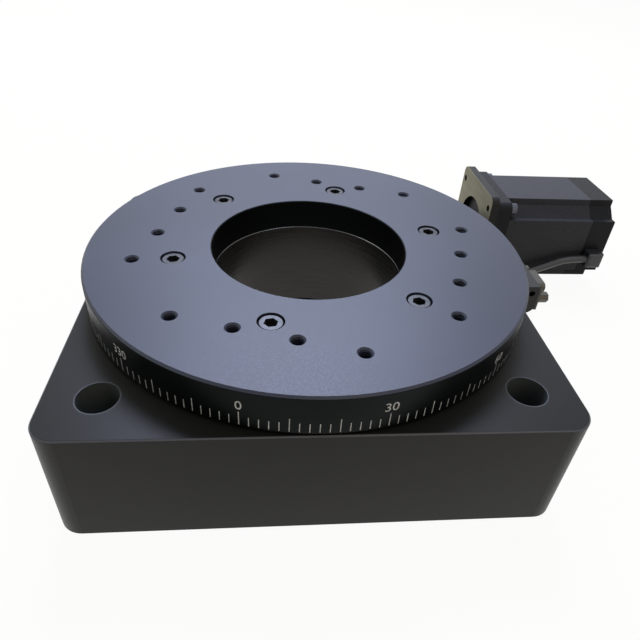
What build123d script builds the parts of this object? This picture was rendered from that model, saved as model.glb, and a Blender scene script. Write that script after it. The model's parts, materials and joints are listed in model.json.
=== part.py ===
from build123d import *
import os
from math import cos, pi, radians, sin, sqrt, tan

os.makedirs("parts", exist_ok=True)

# Motorised rotation stage, in millimetres. The origin is on the table's axis at the base's
# underside, +X points towards the motor, -Y is the front and +Z is up.

# ---- Rotary table ----
table_diameter = 200.0
table_thickness = 17.5
table_edge_chamfer = 1.0
aperture_diameter = 90.0          # clear hole through the middle of the stage
aperture_chamfer = 0.5
web_thickness = 15.0              # table material left above the hub's seat
rest_turn = -17.05                # table's turn about +Z in the stored pose, degrees
hole_rows_offset = 70.0           # distance of each row of tapped holes from the axis
hole_pitch = 25.0
holes_in_row = 4
tapped_hole_diameter = 5.0        # tapping size of the M6 holes
tapped_hole_mouth = 6.4
tapped_hole_depth = 13.0
table_screw_inset = 17.2          # from the aperture's wall to the ring of table screws
table_screw_count = 6
counterbore_diameter = 11.0
counterbore_depth = 6.6

# ---- Base ----
base_width = table_diameter       # the table is as wide as the base
rear_inset = 11.5                 # the worm's axis lies this far behind the base's rear face
base_height = 53.5
base_corner_radius = 10.0
base_edge_chamfer = 0.6
rim_gap = 1.0                     # running gap under the table's rim
bolt_inset = 20.0                 # of the four M8 mounting holes, from the base's sides
bolt_hole_diameter = 9.0
bolt_head_diameter = 15.4
bolt_grip = 12.0                  # material left under a mounting screw's head
base_wall = 7.0                   # least wall between the pocket and a side
pocket_floor = 20.0
cover_thickness = 3.0

# ---- Hub and table bearing ----
hub_wall = 12.0                   # between the aperture and the bearing's bore
wheel_seat_step = 3.0
hub_flange_overhang = 9.0         # of the flange over the wheel's seat
wheel_clearance = 4.0             # from the bearing's top to the wheel
bearing_section = 17.0            # radial width of the bearing
bearing_height = 12.0
ring_gap = 2.0                    # radial gap between the bearing's two rings
roller_diameter = 6.0
roller_play = 0.2
roller_count = 64
clamp_ring_overhang = 8.5         # of the outer clamp ring beyond the bearing
clamp_ring_thickness = 3.0
ring_overlap = 6.0                # width of bearing ring held by a clamp ring or a ledge
inner_clamp_overhang = 8.0        # of the inner clamp ring inside the bearing's bore
inner_clamp_thickness = 4.0
inner_clamp_relief = 1.5
hub_foot_gap = 0.2
collar_wall = 1.6
collar_gap = 1.4

# ---- Worm drive ----
wheel_margin = 3.0                # from the pocket's wall to the wheel's pitch circle
wheel_teeth = 180
wheel_width = 12.0
tooth_play = 0.32                 # taken off each tooth and thread at the pitch line
flank_angle = 20.0
tip_clearance = 0.25
worm_pitch_radius = 12.0
worm_turns = 8
worm_core_extra = 3.5             # plain core beyond each end of the thread
collar_radius = 6.0               # worm shaft between the bearings
shaft_radius = 4.0
shaft_bearing_radius = 11.0
shaft_bearing_width = 7.0
ball_radius = 2.0
ball_play = 0.1
ball_count = 7
race_lip = 1.2                    # half of the gap between a ball bearing's rings
thread_sink = 0.3                 # depth of the thread's foot inside the core
shaft_end_reach = 0.5
bearing_distance = 34.0           # worm centre to the inner side of each bearing
housing_half_length = 50.0
housing_front_reach = 18.0        # from the worm's axis
housing_rear_reach = 19.0
housing_half_height = 17.0
carrier_radius = 14.25
carrier_flange = 4.0
bearing_shoulder = 3.0            # held width of a ball bearing's outer ring
flange_depth = 10.5               # lower flange that is bolted to the base
flange_bottom = 3.0
shelf_thickness = 6.0
shelf_reach = 12.0
bracket_width = 42.0
bracket_thickness = 8.0
bay_gap = 0.7                     # between the coupling and the base
coupling_radius = 9.5
coupling_length = 25.0
shaft_tip_gap = 5.0
coupling_slits = 4
slit_width = 0.8
slit_spacing = 2.2
slit_bridge = 2.0                 # offset of each slit, which leaves the beam beside it
clamp_screw_inset = 4.5
coupling_chamfer = 0.5
carrier_corner = 3.0
carrier_gap = 0.5                 # carrier's flange to the housing's edge and the base

# ---- Motor ----
motor_width = 56.4
motor_corner_radius = 5.0
motor_hole_spacing = 47.14
plate_overhang = 17.5             # adapter plate's open face outside the base's side
plate_thickness = 5.0
plate_rise = 3.5                  # of the adapter plate's top above the motor
pilot_radius = 19.05
pilot_height = 1.6
bell_thickness = 9.0
stack_length = 55.0
rear_bell_length = 15.5
notch_size = 10.2
notch_facet = 6.0
stator_bore_radius = 16.0
air_gap = 0.4
slot_count = 8
slot_inner_radius = 17.8
slot_outer_radius = 24.2
winding_overhang = 3.0
winding_gap = 0.8                 # from the windings' ends to the bells' walls
winding_core_gap = 2.0
tie_bolt_offset = 17.6
motor_shaft_reach = 23.0
motor_screw = 4.0
tie_bolt = 3.0
tie_bolt_grip = 4.0
slot_half_inner = 3.4
slot_half_outer = 4.8
rear_bell_chamfer = 0.8
rotor_inset = 5.0                 # rotor's end inside the stack's end
bell_gap = 0.5                    # behind the front bearing
rear_bearing_inset = 3.0
bell_pocket_gap = 1.0             # past the windings' ends
rotor_stack = 20.0
rotor_magnet = 5.0
rotor_magnet_step = 1.5

# ---- Connector, home switch and lead ----
block_width = 16.0
block_front = -8.5
block_length = 33.0
block_height = 16.0
block_radius = 5.0
block_wall = 2.5
socket_flange_length = 30.8
socket_flange_height = 12.5
socket_flange_thickness = 1.0
socket_body_length = 19.2
socket_body_height = 10.6
socket_body_depth = 6.0
socket_body_gap = 0.3
socket_flange_corner = 0.8
socket_shell_corner = 2.4
socket_shell_length = 16.9
socket_shell_height = 8.4
socket_shell_depth = 5.8
socket_shell_wall = 0.5
socket_slope = 10.0               # slant of the D-shaped shell's short sides, degrees
jack_spacing = 25.0
contact_pitch = 2.77
contact_row_gap = 2.84
contact_radius = 0.9
contact_length = 13.0
contact_tail = 2.0
contact_inset = 0.3               # insulator's face inside the shell's mouth
contact_depth = 4.0
contact_wall = 0.2
jack_thread = 2.8
jack_thread_length = 6.0
jack_hex = 4.8
jack_length = 5.0
jack_bore = 2.3
jack_bore_depth = 4.0
block_side_hole = 3.2
block_side_hole_x = 12.2
block_side_hole_drop = 4.1
block_side_hole_depth = 4.0
sensor_length = 12.0
sensor_width = 13.0
sensor_wall = 2.8                 # base wall left outside the switch
sensor_screw_inset = 2.4
sensor_screw_spacing = 7.0
sensor_screw_grip = 5.0
sensor_height = 7.0
switch_chamfer = 0.4
magnet_diameter = 5.0
magnet_height = 3.0
magnet_inset = 12.0               # from the table's rim
magnet_gap = 1.2
lead_diameter = 5.0
elbow_length = 10.0
elbow_depth = 8.0
elbow_height = 10.0
elbow_bottom = 18.0
elbow_inset = 4.0
elbow_fillet = 2.0
lead_points = (
    (175.0, 69.8, 23.0),
    (163.5, 69.6, 18.0),
    (150.0, 68.6, 13.0),
    (136.0, 65.5, 11.0),
)
gland_position = (60.5, 17.0)     # y and z of the lead's gland in the base's side wall
gland_length = 6.0
gland_radius = 5.5
gland_step = 1.0
gland_hole_gap = 0.5
gland_hole_depth = 12.0
gland_run = 11.0                  # straight run of the lead outside its gland

# ---- Screws: thread, then length or grip, then places ----
table_screw = 6.0
table_screw_length = 17.0
wheel_screw = 4.0
wheel_screw_grip = 8.0            # depth of the hole in the hub
wheel_counterbore = 4.4
wheel_screw_step = 4.6            # outside the wheel's seat
ring_screw = 3.0                  # both clamp rings, the cover, the carriers and the block
inner_screw_step = 5.2            # inside the bearing's bore
inner_screw_count = 12
inner_screw_grip = 8.0
inner_counterbore = 3.2
outer_screw_step = 4.5            # outside the bearing
outer_screw_count = 12
outer_screw_length = 9.0
cover_screw_count = 6
cover_screw_grip = 4.0
cover_screw_start = 15.0
flange_screw = 5.0
flange_screw_z = 8.0
flange_screw_places = (-42.0, -14.0, 14.0, 42.0, 70.0)
flange_screw_grip = 14.0
carrier_screw_grip = 8.0
carrier_counterbore = 3.0
carrier_screw_inset = 3.6
bracket_screw = 4.0
bracket_screw_places = ((-15.0, -21.0), (15.0, -21.0), (-17.5, -13.6), (17.5, -13.6))
block_screw_spacing = 13.6
block_screw_drop = 2.6
block_screw_grip = 6.0
switch_screw = 2.0
switch_counterbore = 2.2
switch_head_gap = 0.1
wire_hole_radius = 2.5
set_screw = 3.0
set_screw_socket = 0.75           # radius, and its depth below
set_screw_socket_depth = 1.2
set_screw_inset = 0.6

# ---- Clearances ----
fit_gap = 0.05                    # between a fixed piece and its seat, each side
run_gap = 0.4                     # between a turning shaft and a plain hole
shaft_room = 2.0                  # around a shaft where nothing guides it
seat_gap = 0.1                    # between a casting and the recess it is bolted into
screw_clearance = 0.3             # between a screw's shank and its clearance hole
tip_room = 1.0                    # between a screw's tip and the bottom of its hole
short_tip_room = 0.5
cover_seat = 1.5                  # width of the cover's rim under the base's ledge
cover_bore_gap = 1.0              # cover's bore outside the aperture

# ---- Levels and places worked out from the sizes above ----
base_side = base_width / 2
pocket_radius = base_side - base_wall
bolt_spacing = base_width - 2 * bolt_inset
table_bottom = base_height + rim_gap
table_top = table_bottom + table_thickness
aperture_radius = aperture_diameter / 2
table_screw_circle = aperture_radius + table_screw_inset
magnet_circle = table_diameter / 2 - magnet_inset

bearing_bore_radius = aperture_radius + hub_wall
bearing_outside_radius = bearing_bore_radius + bearing_section
bearing_top = pocket_floor
bearing_bottom = bearing_top - bearing_height
roller_level = bearing_bottom + bearing_height / 2
roller_circle = (bearing_bore_radius + bearing_outside_radius) / 2
inner_ring_outside = roller_circle - ring_gap / 2
outer_ring_inside = roller_circle + ring_gap / 2
race_half_diagonal = (roller_diameter / 2 + roller_play) * sqrt(2)
inner_screw_circle = bearing_bore_radius - inner_screw_step
outer_screw_circle = bearing_outside_radius + outer_screw_step
clamp_ring_outside = bearing_outside_radius + clamp_ring_overhang
ledge_radius = bearing_outside_radius - ring_overlap
cover_radius = bearing_outside_radius + cover_seat
cover_bore_radius = aperture_radius + cover_bore_gap
cover_screw_circle = (ledge_radius + cover_radius) / 2

wheel_bottom = bearing_top + wheel_clearance
wheel_top = wheel_bottom + wheel_width
wheel_seat_radius = bearing_bore_radius + wheel_seat_step
wheel_screw_circle = wheel_seat_radius + wheel_screw_step
hub_flange_radius = wheel_seat_radius + hub_flange_overhang
hub_top = table_top - web_thickness
hub_bottom = bearing_bottom + hub_foot_gap
table_screw_grip = table_screw_length - web_thickness + counterbore_depth

wheel_pitch_radius = pocket_radius - wheel_margin
gear_module = 2 * wheel_pitch_radius / wheel_teeth
tooth_thickness = gear_module * pi / 2 - tooth_play
wheel_tip_radius = wheel_pitch_radius + gear_module
wheel_root_radius = wheel_pitch_radius - gear_module - tip_clearance
worm_y = wheel_pitch_radius + worm_pitch_radius
worm_z = wheel_bottom + wheel_width / 2
worm_pitch = gear_module * pi
worm_root_radius = worm_pitch_radius - gear_module - tip_clearance
thread_length = worm_turns * worm_pitch

base_front = -base_side
base_rear = worm_y - rear_inset
base_depth = base_rear - base_front
housing_front = worm_y - housing_front_reach
housing_rear = worm_y + housing_rear_reach
flange_rear = base_rear + flange_depth
shelf_rear = worm_y + shelf_reach
housing_bottom = worm_z - housing_half_height
housing_top = worm_z + housing_half_height
bay_front = worm_y - coupling_radius - bay_gap
plate_face = base_side + plate_overhang
bay_end = plate_face - bracket_thickness
coupling_end = bay_end
coupling_start = coupling_end - coupling_length
shaft_meeting = (coupling_start + coupling_end) / 2

motor_face = plate_face + plate_thickness
stack_start = motor_face + bell_thickness
stack_end = stack_start + stack_length
motor_end = stack_end + rear_bell_length
half_motor = motor_width / 2
motor_bearing_front = stack_start - shaft_bearing_width - bell_gap
motor_bearing_rear = stack_end + rear_bearing_inset

block_outside = base_side + block_width
block_bottom = base_height - block_height
socket_y = block_front + socket_flange_length / 2
socket_z = base_height - block_height / 2
socket_face = block_outside + socket_flange_thickness

sensor_outer = base_side - sensor_wall
sensor_top = table_bottom - magnet_gap
sensor_bottom = sensor_top - sensor_height


STANDING = (Align.CENTER, Align.CENTER, Align.MIN)
HANGING = (Align.CENTER, Align.CENTER, Align.MAX)


def level(height):
    """Horizontal sketch plane at a height above the base's underside."""
    return Plane.XY.offset(height)


def shaft_plane(x):
    """Sketch plane square to the worm shaft: local x is +Y and local y is +Z."""
    return Plane(origin=(x, worm_y, worm_z), x_dir=(0, 1, 0), z_dir=(1, 0, 0))


def side_plane(x, y, z):
    """Sketch plane that faces +X: local x is +Y and local y is +Z."""
    return Plane(origin=(x, y, z), x_dir=(0, 1, 0), z_dir=(1, 0, 0))


def rear_plane(y):
    """Plane of the worm housing's flange screws, facing the rear: local x is -X."""
    return Plane(origin=(0, y, flange_screw_z), x_dir=(-1, 0, 0), z_dir=(0, 1, 0))


def head_radius(thread):
    """Radius of a socket head on a screw of this thread diameter."""
    return (1.5 * thread + 1.0) / 2


def socket_screw(thread, length):
    """Socket head cap screw along Z, the underside of its head at the origin."""
    with BuildPart() as screw:
        Cylinder(head_radius(thread), thread, align=STANDING)
        chamfer(screw.edges().group_by(Axis.Z)[-1], thread * 0.08)
        with BuildSketch(Plane.XY.offset(thread)):
            RegularPolygon(thread * 0.42, 6, major_radius=False)
        extrude(amount=-thread * 0.55, mode=Mode.SUBTRACT)
        Cylinder(thread / 2, length, align=HANGING)
    return screw.part


def countersunk_screw(thread, length):
    """Flat head socket screw along Z, the top of its head at the origin."""
    with BuildPart() as screw:
        with BuildSketch(Plane.XZ):
            with BuildLine():
                Polyline((0, 0), (thread, 0), (thread / 2, -thread / 2), (thread / 2, -length),
                         (0, -length), close=True)
            make_face()
        revolve(axis=Axis.Z)
        with BuildSketch():
            RegularPolygon(thread * 0.34, 6, major_radius=False)
        extrude(amount=-thread * 0.4, mode=Mode.SUBTRACT)
    return screw.part


def turned(points):
    """Solid of revolution about the table's axis from (radius, height) points."""
    with BuildPart() as ring:
        with BuildSketch(Plane.XZ):
            with BuildLine():
                Polyline(*points, close=True)
            make_face()
        revolve(axis=Axis.Z)
    return ring.part


def washer_ring(outer, inner, bottom, top):
    """Plain ring about the table's axis between two levels."""
    return turned([(inner, bottom), (outer, bottom), (outer, top), (inner, top)])


# ---- Rotary table plate ----
with BuildPart() as table_plate:
    with BuildSketch(level(table_bottom)):
        Circle(table_diameter / 2)
        Circle(aperture_radius, mode=Mode.SUBTRACT)
    extrude(amount=table_thickness)
    outer_edges = table_plate.edges().filter_by(GeomType.CIRCLE).group_by(SortBy.RADIUS)[-1]
    chamfer(outer_edges.group_by(Axis.Z)[-1], table_edge_chamfer)
    chamfer(outer_edges.group_by(Axis.Z)[0], aperture_chamfer)
    bore_edges = table_plate.edges().filter_by(GeomType.CIRCLE).group_by(SortBy.RADIUS)[0]
    chamfer(bore_edges.group_by(Axis.Z)[-1], aperture_chamfer)
    with BuildSketch(level(table_bottom)):
        Circle(hub_flange_radius + fit_gap)
    extrude(amount=hub_top - table_bottom, mode=Mode.SUBTRACT)
    # Four rows of tapped holes, one along each side of a square.
    for side in range(4):
        with Locations(level(table_top).rotated((0, 0, rest_turn + 90 * side))):
            with Locations((0, -hole_rows_offset)):
                with GridLocations(hole_pitch, 1, holes_in_row, 1):
                    CounterSinkHole(tapped_hole_diameter / 2, tapped_hole_mouth / 2,
                                    depth=tapped_hole_depth, counter_sink_angle=90)
    with Locations(level(table_top)):
        with PolarLocations(table_screw_circle, table_screw_count, start_angle=-90 + rest_turn):
            CounterBoreHole(table_screw / 2 + screw_clearance, counterbore_diameter / 2,
                            counterbore_depth, depth=table_thickness)
    with Locations((0, 0, table_bottom)):
        with PolarLocations(magnet_circle, 1, start_angle=-90 + rest_turn):
            Cylinder(magnet_diameter / 2 + fit_gap, magnet_height, align=STANDING,
                     mode=Mode.SUBTRACT)
table_plate.part.label = "table_plate"
export_step(table_plate.part, "parts/table_plate.step")

with BuildPart() as table_screws:
    with Locations((0, 0, table_top - counterbore_depth)):
        with PolarLocations(table_screw_circle, table_screw_count, start_angle=-90 + rest_turn):
            add(socket_screw(table_screw, table_screw_length))
table_screws.part.label = "table_screws"
export_step(table_screws.part, "parts/table_screws.step")

with BuildPart() as home_magnet:
    with Locations((0, 0, table_bottom)):
        with PolarLocations(magnet_circle, 1, start_angle=-90 + rest_turn):
            Cylinder(magnet_diameter / 2, magnet_height, align=STANDING)
home_magnet.part.label = "home_magnet"
export_step(home_magnet.part, "parts/home_magnet.step")

# ---- Hub: carries the table, the worm wheel and the bearing's inner ring ----
with BuildPart() as hub:
    add(turned([
        (aperture_radius, hub_bottom),
        (bearing_bore_radius - fit_gap, hub_bottom),
        (bearing_bore_radius - fit_gap, bearing_top),
        (wheel_seat_radius - fit_gap, bearing_top),
        (wheel_seat_radius - fit_gap, wheel_top),
        (hub_flange_radius, wheel_top),
        (hub_flange_radius, hub_top),
        (aperture_radius, hub_top),
    ]))
    bore_edges = hub.edges().filter_by(GeomType.CIRCLE).group_by(SortBy.RADIUS)[0]
    chamfer(bore_edges, aperture_chamfer)
    with Locations(level(hub_top)):
        with PolarLocations(table_screw_circle, table_screw_count, start_angle=-90 + rest_turn):
            Hole(table_screw / 2 + fit_gap, depth=table_screw_grip + tip_room)
    with Locations(level(wheel_top).rotated((180, 0, 0))):
        with PolarLocations(wheel_screw_circle, table_screw_count, start_angle=120 - rest_turn):
            Hole(wheel_screw / 2 + fit_gap, depth=wheel_screw_grip)
    with Locations(level(hub_bottom).rotated((180, 0, 0))):
        with PolarLocations(inner_screw_circle, inner_screw_count):
            Hole(ring_screw / 2 + fit_gap, depth=inner_screw_grip)
hub.part.label = "hub"
export_step(hub.part, "parts/hub.step")

# ---- Worm wheel, with a gap between two teeth facing the worm ----
half_tooth = tooth_thickness / 2
flank_slope = tan(radians(flank_angle))
half_tip = half_tooth - gear_module * flank_slope
half_root = half_tooth + (gear_module + tip_clearance) * flank_slope


def tooth_outline():
    """Corners of the toothed rim, one straight-sided tooth after another."""
    corners = []
    for tooth in range(wheel_teeth):
        middle = pi / 2 + 2 * pi * (tooth + 0.5) / wheel_teeth
        sides = [(wheel_root_radius, -half_root), (wheel_tip_radius, -half_tip),
                 (wheel_tip_radius, half_tip), (wheel_root_radius, half_root)]
        for radius, offset in sides:
            angle = middle + offset / radius
            corners.append((radius * cos(angle), radius * sin(angle)))
    return corners


with BuildPart() as worm_wheel:
    with BuildSketch(level(wheel_bottom)):
        with BuildLine():
            Polyline(*tooth_outline(), close=True)
        make_face()
        Circle(wheel_seat_radius, mode=Mode.SUBTRACT)
    extrude(amount=wheel_width)
    with Locations(level(wheel_bottom).rotated((180, 0, 0))):
        with PolarLocations(wheel_screw_circle, table_screw_count, start_angle=120 - rest_turn):
            CounterBoreHole(wheel_screw / 2 + screw_clearance,
                            head_radius(wheel_screw) + screw_clearance, wheel_counterbore,
                            depth=wheel_width)
worm_wheel.part.label = "worm_wheel"
export_step(worm_wheel.part, "parts/worm_wheel.step")

with BuildPart() as wheel_screws:
    with Locations(level(wheel_bottom + wheel_counterbore).rotated((180, 0, 0))):
        with PolarLocations(wheel_screw_circle, table_screw_count, start_angle=120 - rest_turn):
            add(socket_screw(wheel_screw,
                             wheel_width - wheel_counterbore + wheel_screw_grip - tip_room))
wheel_screws.part.label = "wheel_screws"
export_step(wheel_screws.part, "parts/wheel_screws.step")

# ---- Crossed roller bearing ----
race = [
    (roller_circle - race_half_diagonal, roller_level),
    (roller_circle, roller_level - race_half_diagonal),
    (roller_circle + race_half_diagonal, roller_level),
    (roller_circle, roller_level + race_half_diagonal),
]

with BuildPart() as bearing_inner_ring:
    add(washer_ring(inner_ring_outside, bearing_bore_radius, bearing_bottom, bearing_top))
    add(turned(race), mode=Mode.SUBTRACT)
bearing_inner_ring.part.label = "bearing_inner_ring"
export_step(bearing_inner_ring.part, "parts/bearing_inner_ring.step")

with BuildPart() as bearing_outer_ring:
    add(washer_ring(bearing_outside_radius, outer_ring_inside, bearing_bottom, bearing_top))
    add(turned(race), mode=Mode.SUBTRACT)
bearing_outer_ring.part.label = "bearing_outer_ring"
export_step(bearing_outer_ring.part, "parts/bearing_outer_ring.step")

# The rollers' axes lean in and out by turns, each at right angles to its neighbours'.
with BuildPart() as bearing_rollers:
    with Locations((0, 0, roller_level)):
        for lean, start in ((45, 0), (-45, 360 / roller_count)):
            with PolarLocations(roller_circle, roller_count // 2, start_angle=start):
                Cylinder(roller_diameter / 2, roller_diameter - roller_play, rotation=(0, lean, 0))
bearing_rollers.part.label = "bearing_rollers"
export_step(bearing_rollers.part, "parts/bearing_rollers.step")

with BuildPart() as inner_clamp_ring:
    add(washer_ring(inner_ring_outside - inner_clamp_relief,
                    bearing_bore_radius - inner_clamp_overhang,
                    bearing_bottom - inner_clamp_thickness, bearing_bottom))
    with Locations(level(bearing_bottom - inner_clamp_thickness).rotated((180, 0, 0))):
        with PolarLocations(inner_screw_circle, inner_screw_count):
            CounterBoreHole(ring_screw / 2 + screw_clearance,
                            head_radius(ring_screw) + screw_clearance / 2, inner_counterbore,
                            depth=inner_clamp_thickness)
inner_clamp_ring.part.label = "inner_clamp_ring"
export_step(inner_clamp_ring.part, "parts/inner_clamp_ring.step")

with BuildPart() as inner_clamp_screws:
    head_seat = bearing_bottom - inner_clamp_thickness + inner_counterbore
    with Locations(level(head_seat).rotated((180, 0, 0))):
        with PolarLocations(inner_screw_circle, inner_screw_count):
            add(socket_screw(ring_screw, bearing_bottom - head_seat + inner_screw_grip - tip_room))
inner_clamp_screws.part.label = "inner_clamp_screws"
export_step(inner_clamp_screws.part, "parts/inner_clamp_screws.step")

with BuildPart() as outer_clamp_ring:
    add(washer_ring(clamp_ring_outside, ledge_radius, bearing_top,
                    bearing_top + clamp_ring_thickness))
    with Locations(level(bearing_top + clamp_ring_thickness)):
        with PolarLocations(outer_screw_circle, outer_screw_count):
            CounterSinkHole(ring_screw / 2 + screw_clearance, ring_screw + screw_clearance,
                            counter_sink_angle=90)
outer_clamp_ring.part.label = "outer_clamp_ring"
export_step(outer_clamp_ring.part, "parts/outer_clamp_ring.step")

with BuildPart() as outer_clamp_screws:
    with Locations((0, 0, bearing_top + clamp_ring_thickness)):
        with PolarLocations(outer_screw_circle, outer_screw_count):
            add(countersunk_screw(ring_screw, outer_screw_length))
outer_clamp_screws.part.label = "outer_clamp_screws"
export_step(outer_clamp_screws.part, "parts/outer_clamp_screws.step")

# ---- Base housing ----
with BuildPart() as base_housing:
    with BuildSketch():
        with Locations((0, (base_front + base_rear) / 2)):
            RectangleRounded(base_width, base_depth, base_corner_radius)
    extrude(amount=base_height)
    rims = base_housing.edges().group_by(Axis.Z)
    chamfer(rims[0] + rims[-1], base_edge_chamfer)
    add(washer_ring(pocket_radius, 0, pocket_floor, base_height), mode=Mode.SUBTRACT)
    add(washer_ring(bearing_outside_radius + fit_gap, 0, bearing_bottom, pocket_floor),
        mode=Mode.SUBTRACT)
    add(washer_ring(ledge_radius, 0, 0, bearing_bottom), mode=Mode.SUBTRACT)
    add(washer_ring(cover_radius + seat_gap, 0, 0, cover_thickness), mode=Mode.SUBTRACT)
    # Mounting holes at the corners.
    with Locations(level(base_height)):
        with GridLocations(bolt_spacing, bolt_spacing, 2, 2):
            CounterBoreHole(bolt_hole_diameter / 2, bolt_head_diameter / 2,
                            base_height - bolt_grip)
    # Recess for the worm housing, then the coupling's bay beside it.
    with BuildSketch(level(housing_bottom - seat_gap)):
        with Locations((0, housing_front - seat_gap)):
            Rectangle(2 * (housing_half_length + carrier_flange + carrier_gap), base_depth,
                      align=(Align.CENTER, Align.MIN))
        with Locations((0, bay_front)):
            Rectangle(base_width, base_depth, align=(Align.MIN, Align.MIN))
    extrude(amount=base_height, mode=Mode.SUBTRACT)
    # Seat of the home switch, with its wire passage to the connector block.
    with BuildSketch(level(sensor_bottom)):
        with Locations((sensor_outer + seat_gap, socket_y)):
            Rectangle(sensor_width, sensor_length + 2 * seat_gap, align=(Align.MAX, Align.CENTER))
    extrude(amount=base_height, mode=Mode.SUBTRACT)
    with Locations(Plane(origin=(sensor_outer - sensor_screw_inset, socket_y, sensor_bottom))):
        with GridLocations(1, sensor_screw_spacing, 1, 2):
            Hole(switch_screw / 2 + fit_gap, depth=sensor_screw_grip)
    with Locations(side_plane(base_side, socket_y, socket_z)):
        Hole(wire_hole_radius, depth=base_wall + sensor_wall)
        with Locations((0, -block_screw_drop)):
            with GridLocations(block_screw_spacing, 1, 2, 1):
                Hole(ring_screw / 2 + fit_gap, depth=block_screw_grip)
    with Locations(side_plane(base_side, *gland_position)):
        Hole(lead_diameter / 2 + gland_hole_gap, depth=gland_hole_depth)
    # Screw holes of the bearing's clamp ring, the bottom cover and the worm housing.
    with Locations(level(pocket_floor)):
        with PolarLocations(outer_screw_circle, outer_screw_count):
            Hole(ring_screw / 2 + fit_gap, depth=outer_screw_length)
    with Locations(level(cover_thickness).rotated((180, 0, 0))):
        with PolarLocations(cover_screw_circle, cover_screw_count, start_angle=cover_screw_start):
            Hole(ring_screw / 2 + fit_gap, depth=cover_screw_grip)
    with Locations(rear_plane(base_rear)):
        with Locations(*[(-x, 0) for x in flange_screw_places]):
            Hole(flange_screw / 2 + fit_gap, depth=flange_screw_grip)
base_housing.part.label = "base_housing"
export_step(base_housing.part, "parts/base_housing.step")

# ---- Bottom cover, with a collar that meets the hub ----
with BuildPart() as bottom_cover:
    add(turned([
        (cover_bore_radius, 0),
        (cover_radius, 0),
        (cover_radius, cover_thickness),
        (cover_bore_radius + collar_wall, cover_thickness),
        (cover_bore_radius + collar_wall, hub_bottom - collar_gap),
        (cover_bore_radius, hub_bottom - collar_gap),
    ]))
    with Locations(level(0).rotated((180, 0, 0))):
        with PolarLocations(cover_screw_circle, cover_screw_count, start_angle=cover_screw_start):
            CounterSinkHole(ring_screw / 2 + screw_clearance, ring_screw + screw_clearance,
                            counter_sink_angle=90)
bottom_cover.part.label = "bottom_cover"
export_step(bottom_cover.part, "parts/bottom_cover.step")

with BuildPart() as cover_screws:
    with Locations(level(0).rotated((180, 0, 0))):
        with PolarLocations(cover_screw_circle, cover_screw_count, start_angle=cover_screw_start):
            add(countersunk_screw(ring_screw, cover_thickness + cover_screw_grip - tip_room))
cover_screws.part.label = "cover_screws"
export_step(cover_screws.part, "parts/cover_screws.step")

# ---- Worm shaft: single right-hand thread, meshed with the wheel at x = 0 ----
# The thread starts a quarter turn before the side that faces the wheel.
thread_begin = -(worm_turns / 2 + 1 / 4) * worm_pitch
thread_root = worm_root_radius - thread_sink
root_half_width = half_tooth + (worm_pitch_radius - thread_root) * flank_slope
with BuildPart() as worm_shaft:
    with BuildLine():
        thread_path = Helix(worm_pitch, thread_length, worm_pitch_radius,
                            center=(thread_begin, worm_y, worm_z), direction=(1, 0, 0))
    thread_start = Plane(origin=thread_path @ 0, x_dir=(0, 0, 1), z_dir=thread_path % 0)
    with BuildSketch(thread_start):
        with BuildLine():
            Polyline((thread_root - worm_pitch_radius, -root_half_width),
                     (gear_module, -half_tip), (gear_module, half_tip),
                     (thread_root - worm_pitch_radius, root_half_width), close=True)
        make_face()
    sweep(path=thread_path, is_frenet=True)
    core_half = thread_length / 2 + worm_core_extra
    with BuildSketch(shaft_plane(-core_half)):
        Circle(worm_root_radius)
    extrude(amount=2 * core_half)
    with BuildSketch(shaft_plane(-bearing_distance)):
        Circle(collar_radius)
    extrude(amount=2 * bearing_distance)
    shaft_end = -bearing_distance - shaft_bearing_width - shaft_end_reach
    with BuildSketch(shaft_plane(shaft_end)):
        Circle(shaft_radius)
    extrude(amount=shaft_meeting - shaft_tip_gap / 2 - shaft_end)
worm_shaft.part.label = "worm_shaft"
export_step(worm_shaft.part, "parts/worm_shaft.step")

# ---- Ball bearings of the worm and the motor, all of one size ----
ball_circle = (shaft_radius + shaft_bearing_radius) / 2
bearing_places = (-bearing_distance - shaft_bearing_width, bearing_distance,
                  motor_bearing_front, motor_bearing_rear)


def bearing_ring(outer, inner):
    """One bearing's ring about X, its end face at x = 0, with the balls' groove."""
    with BuildPart() as ring:
        with BuildSketch(Plane.YZ):
            Circle(outer)
            Circle(inner, mode=Mode.SUBTRACT)
        extrude(amount=shaft_bearing_width)
        with BuildSketch(Plane.XY):
            with Locations((shaft_bearing_width / 2, ball_circle)):
                Circle(ball_radius + ball_play)
        revolve(axis=Axis.X, mode=Mode.SUBTRACT)
    return ring.part


with BuildPart() as shaft_bearing_inner_rings:
    with Locations(*[(x, worm_y, worm_z) for x in bearing_places]):
        add(bearing_ring(ball_circle - race_lip, shaft_radius + fit_gap / 2))
shaft_bearing_inner_rings.part.label = "shaft_bearing_inner_rings"
export_step(shaft_bearing_inner_rings.part, "parts/shaft_bearing_inner_rings.step")

with BuildPart() as shaft_bearing_outer_rings:
    with Locations(*[(x, worm_y, worm_z) for x in bearing_places]):
        add(bearing_ring(shaft_bearing_radius - fit_gap / 2, ball_circle + race_lip))
shaft_bearing_outer_rings.part.label = "shaft_bearing_outer_rings"
export_step(shaft_bearing_outer_rings.part, "parts/shaft_bearing_outer_rings.step")

with BuildPart() as shaft_bearing_balls:
    for x in bearing_places:
        with Locations(shaft_plane(x + shaft_bearing_width / 2)):
            with PolarLocations(ball_circle, ball_count):
                Sphere(ball_radius)
shaft_bearing_balls.part.label = "shaft_bearing_balls"
export_step(shaft_bearing_balls.part, "parts/shaft_bearing_balls.step")

# ---- Worm housing, with the motor's bracket in one casting ----
housing_depth = housing_rear - housing_front
carrier_half = housing_half_height - carrier_gap
carrier_spigot = housing_half_length - bearing_distance
carrier_screw_offset = carrier_half - carrier_screw_inset
bracket_top = worm_z
shelf_start = housing_half_length + carrier_flange + carrier_gap

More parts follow.
